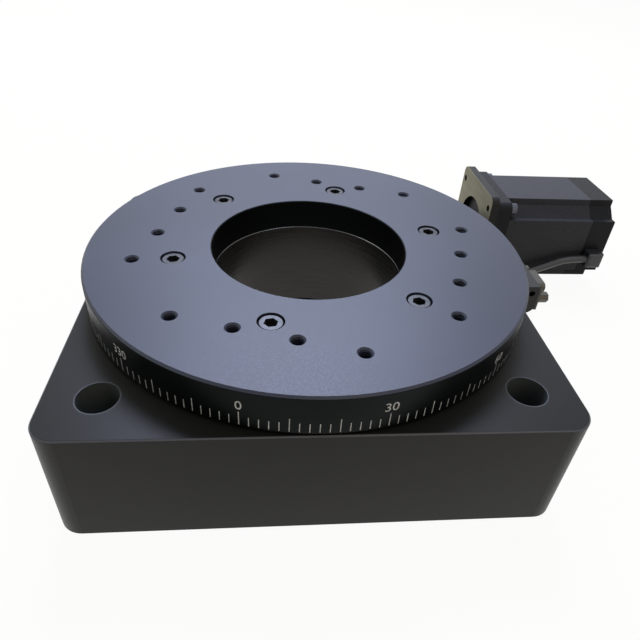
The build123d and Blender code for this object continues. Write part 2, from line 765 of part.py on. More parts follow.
with BuildPart() as worm_housing:
    with BuildSketch(level(housing_bottom)):
        with Locations((0, housing_front)):
            Rectangle(2 * housing_half_length, housing_depth, align=(Align.CENTER, Align.MIN))
    extrude(amount=housing_top - housing_bottom)
    long_edges = worm_housing.edges().filter_by(Axis.X).group_by(Axis.Y)[-1]
    fillet(long_edges, carrier_corner)
    # Lower flange along the base's rear face.
    with BuildSketch(level(flange_bottom)):
        with Locations((-housing_half_length, base_rear)):
            Rectangle(bay_end + housing_half_length, flange_depth, align=(Align.MIN, Align.MIN))
    extrude(amount=housing_bottom - flange_bottom)
    # Shelf under the coupling.
    with BuildSketch(level(housing_bottom)):
        with Locations((shelf_start, bay_front + seat_gap)):
            Rectangle(bay_end - shelf_start, shelf_rear - bay_front - seat_gap,
                      align=(Align.MIN, Align.MIN))
    extrude(amount=shelf_thickness)
    # Upright that holds the motor's adapter plate.
    with BuildSketch(side_plane(bay_end, worm_y, flange_bottom)):
        Rectangle(bracket_width, bracket_top - flange_bottom, align=(Align.CENTER, Align.MIN))
    extrude(amount=bracket_thickness)
    with BuildSketch(shaft_plane(bay_end)):
        SlotOverall(4 * (shaft_radius + shaft_room), 2 * (shaft_radius + shaft_room), rotation=90)
    extrude(amount=bracket_thickness, mode=Mode.SUBTRACT)
    # Bore for the bearing carriers and the wheel's room.
    with BuildSketch(shaft_plane(-housing_half_length)):
        Circle(carrier_radius)
    extrude(amount=2 * housing_half_length, mode=Mode.SUBTRACT)
    add(washer_ring(pocket_radius, 0, 0, table_top), mode=Mode.SUBTRACT)
    for x, direction in ((-housing_half_length, -1), (housing_half_length, 1)):
        face = Plane(origin=(x, worm_y, worm_z), x_dir=(0, 1, 0), z_dir=(direction, 0, 0))
        with Locations(face):
            with GridLocations(2 * carrier_screw_offset, 2 * carrier_screw_offset, 2, 2):
                Hole(ring_screw / 2 + fit_gap, depth=carrier_screw_grip)
    with Locations(rear_plane(flange_rear)):
        with Locations(*[(-x, 0) for x in flange_screw_places]):
            Hole(flange_screw / 2 + screw_clearance, depth=flange_depth)
    with Locations(shaft_plane(plate_face)):
        with Locations(*bracket_screw_places):
            Hole(bracket_screw / 2 + screw_clearance, depth=bracket_thickness)
worm_housing.part.label = "worm_housing"
export_step(worm_housing.part, "parts/worm_housing.step")

with BuildPart() as housing_screws:
    with Locations(rear_plane(flange_rear)):
        with Locations(*[(-x, 0) for x in flange_screw_places]):
            add(socket_screw(flange_screw, flange_depth + flange_screw_grip - tip_room))
housing_screws.part.label = "housing_screws"
export_step(housing_screws.part, "parts/housing_screws.step")


def bearing_carrier(shaft_hole):
    """Flanged carrier on +Z: flange from 0 to its thickness, spigot below, bearing inside."""
    with BuildPart() as carrier:
        with BuildSketch():
            RectangleRounded(2 * carrier_half, 2 * carrier_half, carrier_corner)
        extrude(amount=carrier_flange)
        Cylinder(carrier_radius - fit_gap, carrier_spigot, align=HANGING)
        with Locations((0, 0, -carrier_spigot)):
            Cylinder(shaft_bearing_radius, shaft_bearing_width, align=STANDING, mode=Mode.SUBTRACT)
        with Locations((0, 0, -carrier_spigot + shaft_bearing_width)):
            Cylinder(shaft_bearing_radius - bearing_shoulder, bearing_shoulder, align=STANDING,
                     mode=Mode.SUBTRACT)
        if shaft_hole:
            Hole(shaft_radius + run_gap)
        with Locations((0, 0, carrier_flange)):
            with GridLocations(2 * carrier_screw_offset, 2 * carrier_screw_offset, 2, 2):
                CounterBoreHole(ring_screw / 2 + screw_clearance,
                                head_radius(ring_screw) + screw_clearance,
                                carrier_counterbore, depth=carrier_flange)
    return carrier.part


left_face = Plane(origin=(-housing_half_length, worm_y, worm_z), x_dir=(0, 1, 0), z_dir=(-1, 0, 0))
right_face = shaft_plane(housing_half_length)

with BuildPart() as worm_carrier_closed:
    with Locations(left_face):
        add(bearing_carrier(shaft_hole=False))
worm_carrier_closed.part.label = "worm_carrier_closed"
export_step(worm_carrier_closed.part, "parts/worm_carrier_closed.step")

with BuildPart() as worm_carrier_open:
    with Locations(right_face):
        add(bearing_carrier(shaft_hole=True))
worm_carrier_open.part.label = "worm_carrier_open"
export_step(worm_carrier_open.part, "parts/worm_carrier_open.step")

with BuildPart() as carrier_screws:
    for face in (left_face, right_face):
        with Locations(face.offset(carrier_flange - carrier_counterbore)):
            with GridLocations(2 * carrier_screw_offset, 2 * carrier_screw_offset, 2, 2):
                add(socket_screw(ring_screw, carrier_flange - carrier_counterbore
                                 + carrier_screw_grip - tip_room))
carrier_screws.part.label = "carrier_screws"
export_step(carrier_screws.part, "parts/carrier_screws.step")

# ---- Beam coupling between the worm shaft and the motor shaft ----
with BuildPart() as shaft_coupling:
    with BuildSketch(shaft_plane(coupling_start)):
        Circle(coupling_radius)
        Circle(shaft_radius + fit_gap, mode=Mode.SUBTRACT)
    extrude(amount=coupling_length)
    chamfer(shaft_coupling.edges().group_by(Axis.X)[0].sort_by(SortBy.RADIUS)[-1],
            coupling_chamfer)
    chamfer(shaft_coupling.edges().group_by(Axis.X)[-1].sort_by(SortBy.RADIUS)[-1],
            coupling_chamfer)
    # Cross slits that let the middle flex.
    for slit in range(coupling_slits):
        x = shaft_meeting + (slit - (coupling_slits - 1) / 2) * slit_spacing
        with BuildSketch(shaft_plane(x - slit_width / 2)):
            with Locations(Rotation(0, 0, 90 * slit)):
                with Locations((0, -slit_bridge)):
                    Rectangle(3 * coupling_radius, 2 * coupling_radius)
        extrude(amount=slit_width, mode=Mode.SUBTRACT)
    for x in (coupling_start + clamp_screw_inset, coupling_end - clamp_screw_inset):
        with Locations(Plane(origin=(x, worm_y, worm_z + coupling_radius))):
            Hole(set_screw / 2 + fit_gap, depth=coupling_radius - shaft_radius)
shaft_coupling.part.label = "shaft_coupling"
export_step(shaft_coupling.part, "parts/shaft_coupling.step")

set_screw_length = coupling_radius - shaft_radius - set_screw_inset
with BuildPart() as coupling_screws:
    for x in (coupling_start + clamp_screw_inset, coupling_end - clamp_screw_inset):
        with Locations((x, worm_y, worm_z + shaft_radius + fit_gap)):
            Cylinder(set_screw / 2, set_screw_length, align=STANDING)
            with Locations((0, 0, set_screw_length)):
                Cylinder(set_screw_socket, set_screw_socket_depth, align=HANGING,
                         mode=Mode.SUBTRACT)
coupling_screws.part.label = "coupling_screws"
export_step(coupling_screws.part, "parts/coupling_screws.step")

# ---- Adapter plate, bare machined aluminium ----
with BuildPart() as motor_plate:
    with BuildSketch(shaft_plane(plate_face)):
        with Locations((0, plate_rise / 2)):
            RectangleRounded(motor_width, motor_width + plate_rise, motor_corner_radius)
        Circle(pilot_radius + fit_gap, mode=Mode.SUBTRACT)
    extrude(amount=plate_thickness)
    with Locations(shaft_plane(motor_face)):
        with GridLocations(motor_hole_spacing, motor_hole_spacing, 2, 2):
            Hole(motor_screw / 2 + fit_gap, depth=plate_thickness)
    with Locations(shaft_plane(motor_face)):
        with Locations(*bracket_screw_places):
            Hole(bracket_screw / 2 + fit_gap, depth=plate_thickness)
motor_plate.part.label = "motor_plate"
export_step(motor_plate.part, "parts/motor_plate.step")

with BuildPart() as bracket_screws:
    with Locations(Plane(origin=(bay_end, worm_y, worm_z), x_dir=(0, -1, 0), z_dir=(-1, 0, 0))):
        with Locations(*[(-y, z) for y, z in bracket_screw_places]):
            add(socket_screw(bracket_screw, bracket_thickness + plate_thickness - short_tip_room))
bracket_screws.part.label = "bracket_screws"
export_step(bracket_screws.part, "parts/bracket_screws.step")

# ---- Motor shells and stator ----
notch_inner = half_motor - notch_size


def notched_outline():
    """Motor cross-section with its corners cut away and the inner corners faceted."""
    corner = [(half_motor, notch_inner), (notch_inner + notch_facet, notch_inner),
              (notch_inner, notch_inner + notch_facet), (notch_inner, half_motor)]
    points = []
    for turn in range(4):
        for x, y in corner:
            for _ in range(turn):
                x, y = -y, x
            points.append((x, y))
    return points


def slot_face(margin):
    """Winding slot between two poles, drawn smaller by a margin all round."""
    inner, outer = slot_inner_radius + margin, slot_outer_radius - margin
    with BuildSketch() as slot:
        with BuildLine():
            Polyline((inner, margin - slot_half_inner), (outer, margin - slot_half_outer),
                     (outer, slot_half_outer - margin), (inner, slot_half_inner - margin),
                     close=True)
        make_face()
    return slot.sketch


with BuildPart() as motor_front_bell:
    with BuildSketch(shaft_plane(motor_face)):
        RectangleRounded(motor_width, motor_width, motor_corner_radius)
    extrude(amount=bell_thickness)
    with BuildSketch(shaft_plane(motor_face)):
        Circle(pilot_radius)
    extrude(amount=-pilot_height)
    with BuildSketch(shaft_plane(motor_bearing_front)):
        Circle(shaft_bearing_radius)
    extrude(amount=bell_thickness, mode=Mode.SUBTRACT)
    with BuildSketch(shaft_plane(stack_start)):
        Circle(slot_outer_radius + winding_gap)
        Circle(slot_inner_radius - winding_core_gap, mode=Mode.SUBTRACT)
    extrude(amount=-winding_overhang - bell_pocket_gap, mode=Mode.SUBTRACT)
    with Locations(shaft_plane(stack_start)):
        Hole(shaft_radius + run_gap)
        with GridLocations(motor_hole_spacing, motor_hole_spacing, 2, 2):
            Hole(motor_screw / 2 + screw_clearance, depth=bell_thickness)
        with GridLocations(2 * tie_bolt_offset, 2 * tie_bolt_offset, 2, 2):
            Hole(tie_bolt / 2 + fit_gap, depth=tie_bolt_grip)
motor_front_bell.part.label = "motor_front_bell"
export_step(motor_front_bell.part, "parts/motor_front_bell.step")

with BuildPart() as motor_screws:
    with Locations(shaft_plane(stack_start)):
        with GridLocations(motor_hole_spacing, motor_hole_spacing, 2, 2):
            add(socket_screw(motor_screw, bell_thickness + plate_thickness - tip_room))
motor_screws.part.label = "motor_screws"
export_step(motor_screws.part, "parts/motor_screws.step")

with BuildPart() as stator_stack:
    with BuildSketch(shaft_plane(stack_start)):
        with BuildLine():
            Polyline(*notched_outline(), close=True)
        make_face()
        Circle(stator_bore_radius, mode=Mode.SUBTRACT)
        with PolarLocations(0, slot_count, start_angle=180 / slot_count):
            add(slot_face(0), mode=Mode.SUBTRACT)
        with GridLocations(2 * tie_bolt_offset, 2 * tie_bolt_offset, 2, 2):
            Circle(tie_bolt / 2 + screw_clearance, mode=Mode.SUBTRACT)
    extrude(amount=stack_length)
stator_stack.part.label = "stator_stack"
export_step(stator_stack.part, "parts/stator_stack.step")

with BuildPart() as stator_windings:
    with BuildSketch(shaft_plane(stack_start - winding_overhang)):
        with PolarLocations(0, slot_count, start_angle=180 / slot_count):
            add(slot_face(seat_gap))
    extrude(amount=stack_length + 2 * winding_overhang)
stator_windings.part.label = "stator_windings"
export_step(stator_windings.part, "parts/stator_windings.step")

with BuildPart() as motor_rear_bell:
    with BuildSketch(shaft_plane(stack_end)):
        with BuildLine():
            Polyline(*notched_outline(), close=True)
        make_face()
    extrude(amount=rear_bell_length)
    chamfer(motor_rear_bell.edges().group_by(Axis.X)[-1], rear_bell_chamfer)
    with BuildSketch(shaft_plane(stack_end)):
        Circle(slot_outer_radius + winding_gap)
        Circle(slot_inner_radius - winding_core_gap, mode=Mode.SUBTRACT)
    extrude(amount=winding_overhang + bell_pocket_gap, mode=Mode.SUBTRACT)
    with BuildSketch(shaft_plane(stack_end)):
        Circle(shaft_bearing_radius)
    extrude(amount=motor_bearing_rear + shaft_bearing_width - stack_end, mode=Mode.SUBTRACT)
    with Locations(shaft_plane(motor_bearing_rear + shaft_bearing_width)):
        Cylinder(shaft_radius + shaft_room, shaft_room, align=STANDING, mode=Mode.SUBTRACT)
    with Locations(shaft_plane(motor_end)):
        with GridLocations(2 * tie_bolt_offset, 2 * tie_bolt_offset, 2, 2):
            CounterBoreHole(tie_bolt / 2 + screw_clearance,
                            head_radius(tie_bolt) + screw_clearance, tie_bolt,
                            depth=rear_bell_length)
motor_rear_bell.part.label = "motor_rear_bell"
export_step(motor_rear_bell.part, "parts/motor_rear_bell.step")

with BuildPart() as motor_tie_bolts:
    with Locations(shaft_plane(motor_end - tie_bolt)):
        with GridLocations(2 * tie_bolt_offset, 2 * tie_bolt_offset, 2, 2):
            add(socket_screw(tie_bolt, motor_end - tie_bolt - stack_start + tie_bolt_grip
                             - short_tip_room))
motor_tie_bolts.part.label = "motor_tie_bolts"
export_step(motor_tie_bolts.part, "parts/motor_tie_bolts.step")

# ---- Rotor and motor shaft ----
with BuildPart() as motor_shaft:
    with BuildSketch(shaft_plane(shaft_meeting + shaft_tip_gap / 2)):
        Circle(shaft_radius)
    extrude(amount=motor_bearing_rear + shaft_bearing_width - shaft_meeting - shaft_tip_gap / 2)
motor_shaft.part.label = "motor_shaft"
export_step(motor_shaft.part, "parts/motor_shaft.step")

rotor_radius = stator_bore_radius - air_gap
rotor_start = stack_start + rotor_inset
with BuildPart() as rotor:
    for start, length, radius in (
        (rotor_start, rotor_stack, rotor_radius),
        (rotor_start + rotor_stack, rotor_magnet, rotor_radius - rotor_magnet_step),
        (rotor_start + rotor_stack + rotor_magnet, rotor_stack, rotor_radius),
    ):
        with BuildSketch(shaft_plane(start)):
            Circle(radius)
            Circle(shaft_radius + fit_gap / 2, mode=Mode.SUBTRACT)
        extrude(amount=length)
rotor.part.label = "rotor"
export_step(rotor.part, "parts/rotor.step")

# ---- Motor lead: moulded elbow on the motor, the lead and its gland in the base ----
elbow_x = motor_end - elbow_length - elbow_inset
elbow_face = worm_y - half_motor
lead_y = elbow_face - elbow_depth / 2
with BuildPart() as lead_elbow:
    with BuildSketch(level(elbow_bottom)):
        with Locations((elbow_x, elbow_face)):
            Rectangle(elbow_length, elbow_depth, align=(Align.MIN, Align.MAX))
    extrude(amount=elbow_height)
    fillet(lead_elbow.edges().group_by(Axis.Y)[0], elbow_fillet)
lead_elbow.part.label = "lead_elbow"
export_step(lead_elbow.part, "parts/lead_elbow.step")

gland_y, gland_z = gland_position
lead_route = [
    (elbow_x, lead_y, elbow_bottom + elbow_height / 2),
    *lead_points,
    (base_side + gland_length + gland_run, gland_y, gland_z),
    (base_side + gland_length, gland_y, gland_z),
]


def bend_radii(route):
    """Radius of each bend, 0.45 of its shorter run over the tangent of half the turn."""
    radii = []
    for before, corner, after in zip(route, route[1:], route[2:]):
        coming, going = Vector(*corner) - Vector(*before), Vector(*after) - Vector(*corner)
        half_turn = radians(coming.get_angle(going)) / 2
        radii.append(0.45 * min(coming.length, going.length) / tan(half_turn))
    return radii


with BuildPart() as motor_lead:
    with BuildLine() as lead_line:
        FilletPolyline(*lead_route, radius=bend_radii(lead_route))
    lead_path = lead_line.line
    with BuildSketch(Plane(origin=lead_path @ 0, z_dir=lead_path % 0)):
        Circle(lead_diameter / 2)
    sweep(path=lead_path)
motor_lead.part.label = "motor_lead"
export_step(motor_lead.part, "parts/motor_lead.step")
print("lead bends", [round(radius) for radius in bend_radii(lead_route)])
lead_length = sum(edge.length for edge in lead_path.edges())
print("lead length", round(lead_length, 1), "volume", round(motor_lead.part.volume, 1),
      "of", round(lead_length * pi * lead_diameter ** 2 / 4, 1))

with BuildPart() as lead_gland:
    with BuildSketch(side_plane(base_side, gland_y, gland_z)):
        RegularPolygon(gland_radius, 6, major_radius=False)
    extrude(amount=gland_length / 2)
    with BuildSketch(side_plane(base_side + gland_length / 2, gland_y, gland_z)):
        Circle(gland_radius - gland_step)
    extrude(amount=gland_length / 2)
    with BuildSketch(side_plane(base_side, gland_y, gland_z)):
        Circle(lead_diameter / 2 + gland_hole_gap - fit_gap)
    extrude(amount=-gland_length)
lead_gland.part.label = "lead_gland"
export_step(lead_gland.part, "parts/lead_gland.step")

# ---- Connector block on the base's right side ----
with BuildPart() as connector_block:
    with BuildSketch(level(block_bottom)):
        with Locations((base_side, block_front)):
            Rectangle(block_width, block_length, align=(Align.MIN, Align.MIN))
    extrude(amount=block_height)
    lower_edge = connector_block.edges().filter_by(Axis.Y).group_by(Axis.Z)[0].sort_by(Axis.X)[-1]
    fillet(lower_edge, block_radius)
    upper_edge = connector_block.edges().filter_by(Axis.Y).group_by(Axis.Z)[-1].sort_by(Axis.X)[-1]
    chamfer(upper_edge, base_edge_chamfer)
    # Wiring chamber behind the socket's cut-out, with the wire passage into the base.
    with BuildSketch(side_plane(base_side + block_wall, socket_y, socket_z)):
        Rectangle(jack_spacing - 2 * jack_thread, block_height - 2 * block_wall)
    extrude(amount=block_width - 2 * block_wall, mode=Mode.SUBTRACT)
    with Locations(side_plane(block_outside, socket_y, socket_z)):
        Box(socket_body_length + 2 * socket_body_gap, socket_body_height + 2 * seat_gap,
            block_wall, align=HANGING, mode=Mode.SUBTRACT)
        with GridLocations(jack_spacing, 1, 2, 1):
            Hole(jack_thread / 2 + fit_gap, depth=jack_thread_length)
    with Locations(side_plane(base_side + block_wall, socket_y, socket_z)):
        Hole(wire_hole_radius, depth=block_wall)
        with Locations((0, -block_screw_drop)):
            with GridLocations(block_screw_spacing, 1, 2, 1):
                Hole(ring_screw / 2 + screw_clearance, depth=block_wall)
    side_hole_at = (base_side + block_side_hole_x, block_front,
                    base_height - block_side_hole_drop)
    with Locations(Plane(origin=side_hole_at, x_dir=(1, 0, 0), z_dir=(0, -1, 0))):
        Hole(block_side_hole / 2, depth=block_side_hole_depth)
connector_block.part.label = "connector_block"
export_step(connector_block.part, "parts/connector_block.step")

with BuildPart() as block_screws:
    with Locations(side_plane(base_side + block_wall, socket_y, socket_z - block_screw_drop)):
        with GridLocations(block_screw_spacing, 1, 2, 1):
            add(socket_screw(ring_screw, block_wall + block_screw_grip - tip_room))
block_screws.part.label = "block_screws"
export_step(block_screws.part, "parts/block_screws.step")


def d_face(length, height, radius):
    """D-shaped face, its longer side up, with slanted short sides and round corners."""
    shift = height * tan(radians(socket_slope))
    with BuildSketch() as face:
        with BuildLine():
            Polyline((-length / 2, height / 2), (length / 2, height / 2),
                     (length / 2 - shift, -height / 2), (shift - length / 2, -height / 2),
                     close=True)
        make_face()
        fillet(face.vertices(), radius)
    return face.sketch


with BuildPart() as socket_shell:
    with BuildSketch(side_plane(block_outside, socket_y, socket_z)):
        RectangleRounded(socket_flange_length, socket_flange_height, socket_flange_corner)
        with GridLocations(jack_spacing, 1, 2, 1):
            Circle(jack_thread / 2 + fit_gap, mode=Mode.SUBTRACT)
    extrude(amount=socket_flange_thickness)
    with BuildSketch(side_plane(block_outside, socket_y, socket_z)):
        Rectangle(socket_body_length, socket_body_height)
    extrude(amount=-socket_body_depth)
    with BuildSketch(side_plane(socket_face, socket_y, socket_z)):
        add(d_face(socket_shell_length, socket_shell_height, socket_shell_corner))
    extrude(amount=socket_shell_depth)
    with BuildSketch(side_plane(socket_face + socket_shell_depth, socket_y, socket_z)):
        inside = 2 * socket_shell_wall
        add(d_face(socket_shell_length - inside, socket_shell_height - inside,
                   socket_shell_corner - socket_shell_wall))
    extrude(amount=-socket_shell_depth - socket_flange_thickness - socket_body_depth,
            mode=Mode.SUBTRACT)
socket_shell.part.label = "socket_shell"
export_step(socket_shell.part, "parts/socket_shell.step")

with BuildPart() as socket_insulator:
    with BuildSketch(side_plane(block_outside - socket_body_depth, socket_y, socket_z)):
        inside = 2 * socket_shell_wall + 2 * fit_gap
        add(d_face(socket_shell_length - inside, socket_shell_height - inside,
                   socket_shell_corner - socket_shell_wall - fit_gap))
    extrude(amount=socket_body_depth + socket_flange_thickness + socket_shell_depth - contact_inset)
    with Locations(side_plane(socket_face + socket_shell_depth - contact_inset, socket_y, socket_z)):
        for row, count in ((0.5, 5), (-0.5, 4)):
            with Locations((0, row * contact_row_gap)):
                with GridLocations(contact_pitch, 1, count, 1):
                    Hole(contact_radius + fit_gap)
socket_insulator.part.label = "socket_insulator"
export_step(socket_insulator.part, "parts/socket_insulator.step")

with BuildPart() as socket_contacts:
    with Locations(side_plane(block_outside - socket_body_depth - contact_tail, socket_y, socket_z)):
        for row, count in ((0.5, 5), (-0.5, 4)):
            with Locations((0, row * contact_row_gap)):
                with GridLocations(contact_pitch, 1, count, 1):
                    Cylinder(contact_radius, contact_length, align=STANDING)
                    with Locations((0, 0, contact_length)):
                        Cylinder(contact_radius - contact_wall, contact_depth, align=HANGING,
                                 mode=Mode.SUBTRACT)
socket_contacts.part.label = "socket_contacts"
export_step(socket_contacts.part, "parts/socket_contacts.step")

with BuildPart() as jack_screws:
    with Locations(side_plane(socket_face, socket_y, socket_z)):
        with GridLocations(jack_spacing, 1, 2, 1):
            Cylinder(jack_thread / 2, jack_thread_length, align=HANGING)
    with BuildSketch(side_plane(socket_face, socket_y, socket_z)):
        with GridLocations(jack_spacing, 1, 2, 1):
            RegularPolygon(jack_hex / 2, 6, major_radius=False)
    extrude(amount=jack_length)
    with Locations(side_plane(socket_face + jack_length, socket_y, socket_z)):
        with GridLocations(jack_spacing, 1, 2, 1):
            Hole(jack_bore / 2, depth=jack_bore_depth)
jack_screws.part.label = "jack_screws"
export_step(jack_screws.part, "parts/jack_screws.step")

# ---- Home switch under the table's rim ----
with BuildPart() as home_switch:
    with BuildSketch(level(sensor_bottom)):
        with Locations((sensor_outer, socket_y)):
            Rectangle(sensor_width, sensor_length, align=(Align.MAX, Align.CENTER))
    extrude(amount=sensor_height)
    chamfer(home_switch.edges().group_by(Axis.Z)[-1], switch_chamfer)
    with Locations(Plane(origin=(sensor_outer - sensor_screw_inset, socket_y, sensor_top))):
        with GridLocations(1, sensor_screw_spacing, 1, 2):
            CounterBoreHole(switch_screw / 2 + switch_head_gap,
                            head_radius(switch_screw) + switch_head_gap, switch_counterbore,
                            depth=sensor_height)
home_switch.part.label = "home_switch"
export_step(home_switch.part, "parts/home_switch.step")

with BuildPart() as home_switch_screws:
    with Locations((sensor_outer - sensor_screw_inset, socket_y, sensor_top - switch_counterbore)):
        with GridLocations(1, sensor_screw_spacing, 1, 2):
            add(socket_screw(switch_screw, sensor_height - switch_counterbore + sensor_screw_grip
                             - short_tip_room))
home_switch_screws.part.label = "home_switch_screws"
export_step(home_switch_screws.part, "parts/home_switch_screws.step")
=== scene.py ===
import json
import math

import bmesh
import bpy
from mathutils import Matrix, Vector


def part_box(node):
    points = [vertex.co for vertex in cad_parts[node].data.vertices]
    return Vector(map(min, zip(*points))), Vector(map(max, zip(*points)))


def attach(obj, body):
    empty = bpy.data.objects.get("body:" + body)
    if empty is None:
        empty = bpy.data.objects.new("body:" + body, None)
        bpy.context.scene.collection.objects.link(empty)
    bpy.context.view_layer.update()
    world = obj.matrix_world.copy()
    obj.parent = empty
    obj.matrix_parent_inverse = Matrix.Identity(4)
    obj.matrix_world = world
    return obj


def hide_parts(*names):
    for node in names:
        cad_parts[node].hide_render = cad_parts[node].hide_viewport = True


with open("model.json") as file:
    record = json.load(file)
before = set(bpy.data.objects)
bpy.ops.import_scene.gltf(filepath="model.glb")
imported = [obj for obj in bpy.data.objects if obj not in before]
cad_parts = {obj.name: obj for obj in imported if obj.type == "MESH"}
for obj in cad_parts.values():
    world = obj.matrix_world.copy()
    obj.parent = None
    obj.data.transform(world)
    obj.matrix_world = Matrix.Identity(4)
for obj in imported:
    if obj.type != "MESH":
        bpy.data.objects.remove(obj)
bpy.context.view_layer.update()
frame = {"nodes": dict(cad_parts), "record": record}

bl_info = {
    "name": "Rotation Stage Dresser",
    "version": (1, 0, 0),
    "blender": (4, 5, 0),
    "location": "View3D > Sidebar > Rotation Stage",
    "description": "Adds the scale, threads, motor lead, finishes and studio to a rotation stage",
    "category": "Object",
}

MM = 0.001


# ---- Levels and radii read from the frame ----
MOUNT_SIZES = {mount["name"]: mount["dims"] for mount in frame["record"]["mounts"]}
TABLE_LOW, TABLE_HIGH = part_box("table_plate")
RIM_RADIUS = (TABLE_HIGH.x - TABLE_LOW.x) / 2
APERTURE_RADIUS = MOUNT_SIZES["table_bore"]["r_mm"] * MM
BASE_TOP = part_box("base_housing")[1].z
BOLT_PLACE = MOUNT_SIZES["base_bolts"]["spacing_x_mm"] / 2 * MM    # in X and in Y alike
BOLT_HEAD_RADIUS = 7.7 * MM
HUB_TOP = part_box("hub")[1].z
PLATE_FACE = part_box("motor_plate")[0].x

# ---- Colours of painted highlights on edges and of painted light in bores, as sRGB hex values ----
BASE_EDGE_HIGHLIGHT_COLOUR = "#55565a"
BOLT_EDGE_HIGHLIGHT_COLOUR = "#4a4c4f"
BORED_WALL_LIGHT_COLOUR = "#4c5250"
HUB_EDGE_HIGHLIGHT_COLOUR = "#6d6e70"


# ---- What a user would change ----
class ScaleSizes(bpy.types.PropertyGroup):
    """Engraved degree scale on the table's rim."""
    turn: bpy.props.FloatProperty(
        name="Table turn", description="Turn of the table from its square position",
        default=math.radians(-17.05), subtype="ANGLE")
    minor_step: bpy.props.IntProperty(
        name="Minor step", description="Degrees from one line to the next", default=2, min=1)
    major_step: bpy.props.IntProperty(
        name="Major step", description="Degrees between the longer lines", default=10, min=1)
    number_step: bpy.props.IntProperty(
        name="Number step", description="Degrees between the numbers", default=30, min=5)
    line_foot: bpy.props.FloatProperty(
        name="Line foot", description="Height of the lines' lower ends above the rim's lower edge",
        default=1.1 * MM, unit="LENGTH")
    minor_length: bpy.props.FloatProperty(
        name="Minor line", description="Length of a short line", default=4.1 * MM, unit="LENGTH")
    major_length: bpy.props.FloatProperty(
        name="Major line", description="Length of a long line", default=6.2 * MM, unit="LENGTH")
    line_width: bpy.props.FloatProperty(
        name="Line width", description="Width of every line", default=0.34 * MM, unit="LENGTH")
    number_height: bpy.props.FloatProperty(
        name="Number height", description="Height of a digit", default=3.9 * MM, unit="LENGTH")
    number_gap: bpy.props.FloatProperty(
        name="Number gap", description="Gap from a long line to the number above it",
        default=1.1 * MM, unit="LENGTH")
    inlay: bpy.props.FloatProperty(
        name="Inlay", description="Height of the filled engraving over the rim",
        default=0.02 * MM, unit="LENGTH")


class ThreadSizes(bpy.types.PropertyGroup):
    """Threads in the table's tapped holes."""
    pitch: bpy.props.FloatProperty(
        name="Pitch", description="Pitch of the thread", default=1.0 * MM, unit="LENGTH")
    wall: bpy.props.FloatProperty(
        name="Wall radius", description="Radius of the drilled hole", default=2.49 * MM, unit="LENGTH")
    crest: bpy.props.FloatProperty(
        name="Crest radius", description="Radius at the thread's crests", default=2.2 * MM,
        unit="LENGTH")
    turns: bpy.props.IntProperty(
        name="Turns", description="Turns of thread below the mouth", default=9, min=1)
    mouth: bpy.props.FloatProperty(
        name="Mouth", description="Depth of the chamfer at the hole's mouth",
        default=0.75 * MM, unit="LENGTH")
    row_offset: bpy.props.FloatProperty(
        name="Row offset", description="Distance of each row of holes from the axis",
        default=70.0 * MM, unit="LENGTH")
    hole_pitch: bpy.props.FloatProperty(
        name="Hole pitch", description="Distance between holes in a row", default=25.0 * MM,
        unit="LENGTH")


class StageColours(bpy.types.PropertyGroup):
    """Colours of the finishes that show most, as sRGB hex values."""
    table: bpy.props.StringProperty(
        name="Table", description="Black anodise of the table's top", default="#2c2f3c")
    # the rim colour is painted shade on the rim and in the aperture, which face away from the lamps
    rim: bpy.props.StringProperty(
        name="Rim", description="Black anodise of the table's turned rim", default="#121514")
    base: bpy.props.StringProperty(
        name="Base", description="Black anodise of the base", default="#1a1a18")
    engraving: bpy.props.StringProperty(
        name="Engraving", description="Paint in the engraved scale", default="#b9bcbc")
    plate: bpy.props.StringProperty(
        name="Adapter plate", description="Bare machined aluminium", default="#736f59")
    motor: bpy.props.StringProperty(
        name="Motor", description="Satin black paint of the motor", default="#323337")
    floor: bpy.props.StringProperty(
        name="Floor", description="Pale studio floor", default="#ecdcc0")


# ---- Small tools ----
def linear(hex_colour):
    """Linear RGBA from an sRGB hex value."""
    channels = [int(hex_colour[i:i + 2], 16) / 255 for i in (1, 3, 5)]
    return tuple(c / 12.92 if c <= 0.04045 else ((c + 0.055) / 1.055) ** 2.4
                 for c in channels) + (1.0,)


def add_node(tree, kind, settings=None, values=None, links=None):
    """Adds one shader node, with its settings, socket values and incoming links."""
    made = tree.nodes.new(kind)
    for key, value in (settings or {}).items():
        setattr(made, key, value)
    for socket, value in (values or {}).items():
        made.inputs[socket].default_value = value
    for socket, source in (links or {}).items():
        tree.links.new(source, made.inputs[socket])
    return made


def start_material(name, colour, roughness, metallic, **sockets):
    """Material with one Principled shader whose plain sockets are set, and its object coordinates."""
    material = bpy.data.materials.new(name)
    material.use_nodes = True
    tree = material.node_tree
    shader = tree.nodes["Principled BSDF"]
    shader.inputs["Base Color"].default_value = linear(colour)
    shader.inputs["Roughness"].default_value = roughness
    shader.inputs["Metallic"].default_value = metallic
    for socket, value in sockets.items():
        shader.inputs[socket.replace("_", " ")].default_value = value
    place = add_node(tree, "ShaderNodeTexCoord").outputs["Object"]
    return material, tree, shader, place


def grain(tree, place, size, detail=3.0):
    """Noise whose features are about size metres across."""
    return add_node(tree, "ShaderNodeTexNoise", values={"Scale": 0.5 / size, "Detail": detail},
                    links={"Vector": place})


def vary(tree, source, low, high, start=0.3, end=0.7):
    """Maps a pattern's middle range to values from low to high."""
    return add_node(tree, "ShaderNodeMapRange",
                    values={"From Min": start, "From Max": end, "To Min": low, "To Max": high},
                    links={"Value": source}).outputs["Result"]


def mix_colours(tree, factor, first, second):
    """Colour between two hex colours, by a pattern from 0 to 1."""
    mix = add_node(tree, "ShaderNodeMix", settings={"data_type": "RGBA"}, links={"Factor": factor})
    mix.inputs["A"].default_value = linear(first)
    mix.inputs["B"].default_value = linear(second)
    return mix.outputs["Result"]


def beyond(tree, amount, edge, width=0.1 * MM):
    """0 below an edge of a coordinate or radius and 1 above it, over a narrow width."""
    return vary(tree, amount, 0.0, 1.0, edge - width / 2, edge + width / 2)


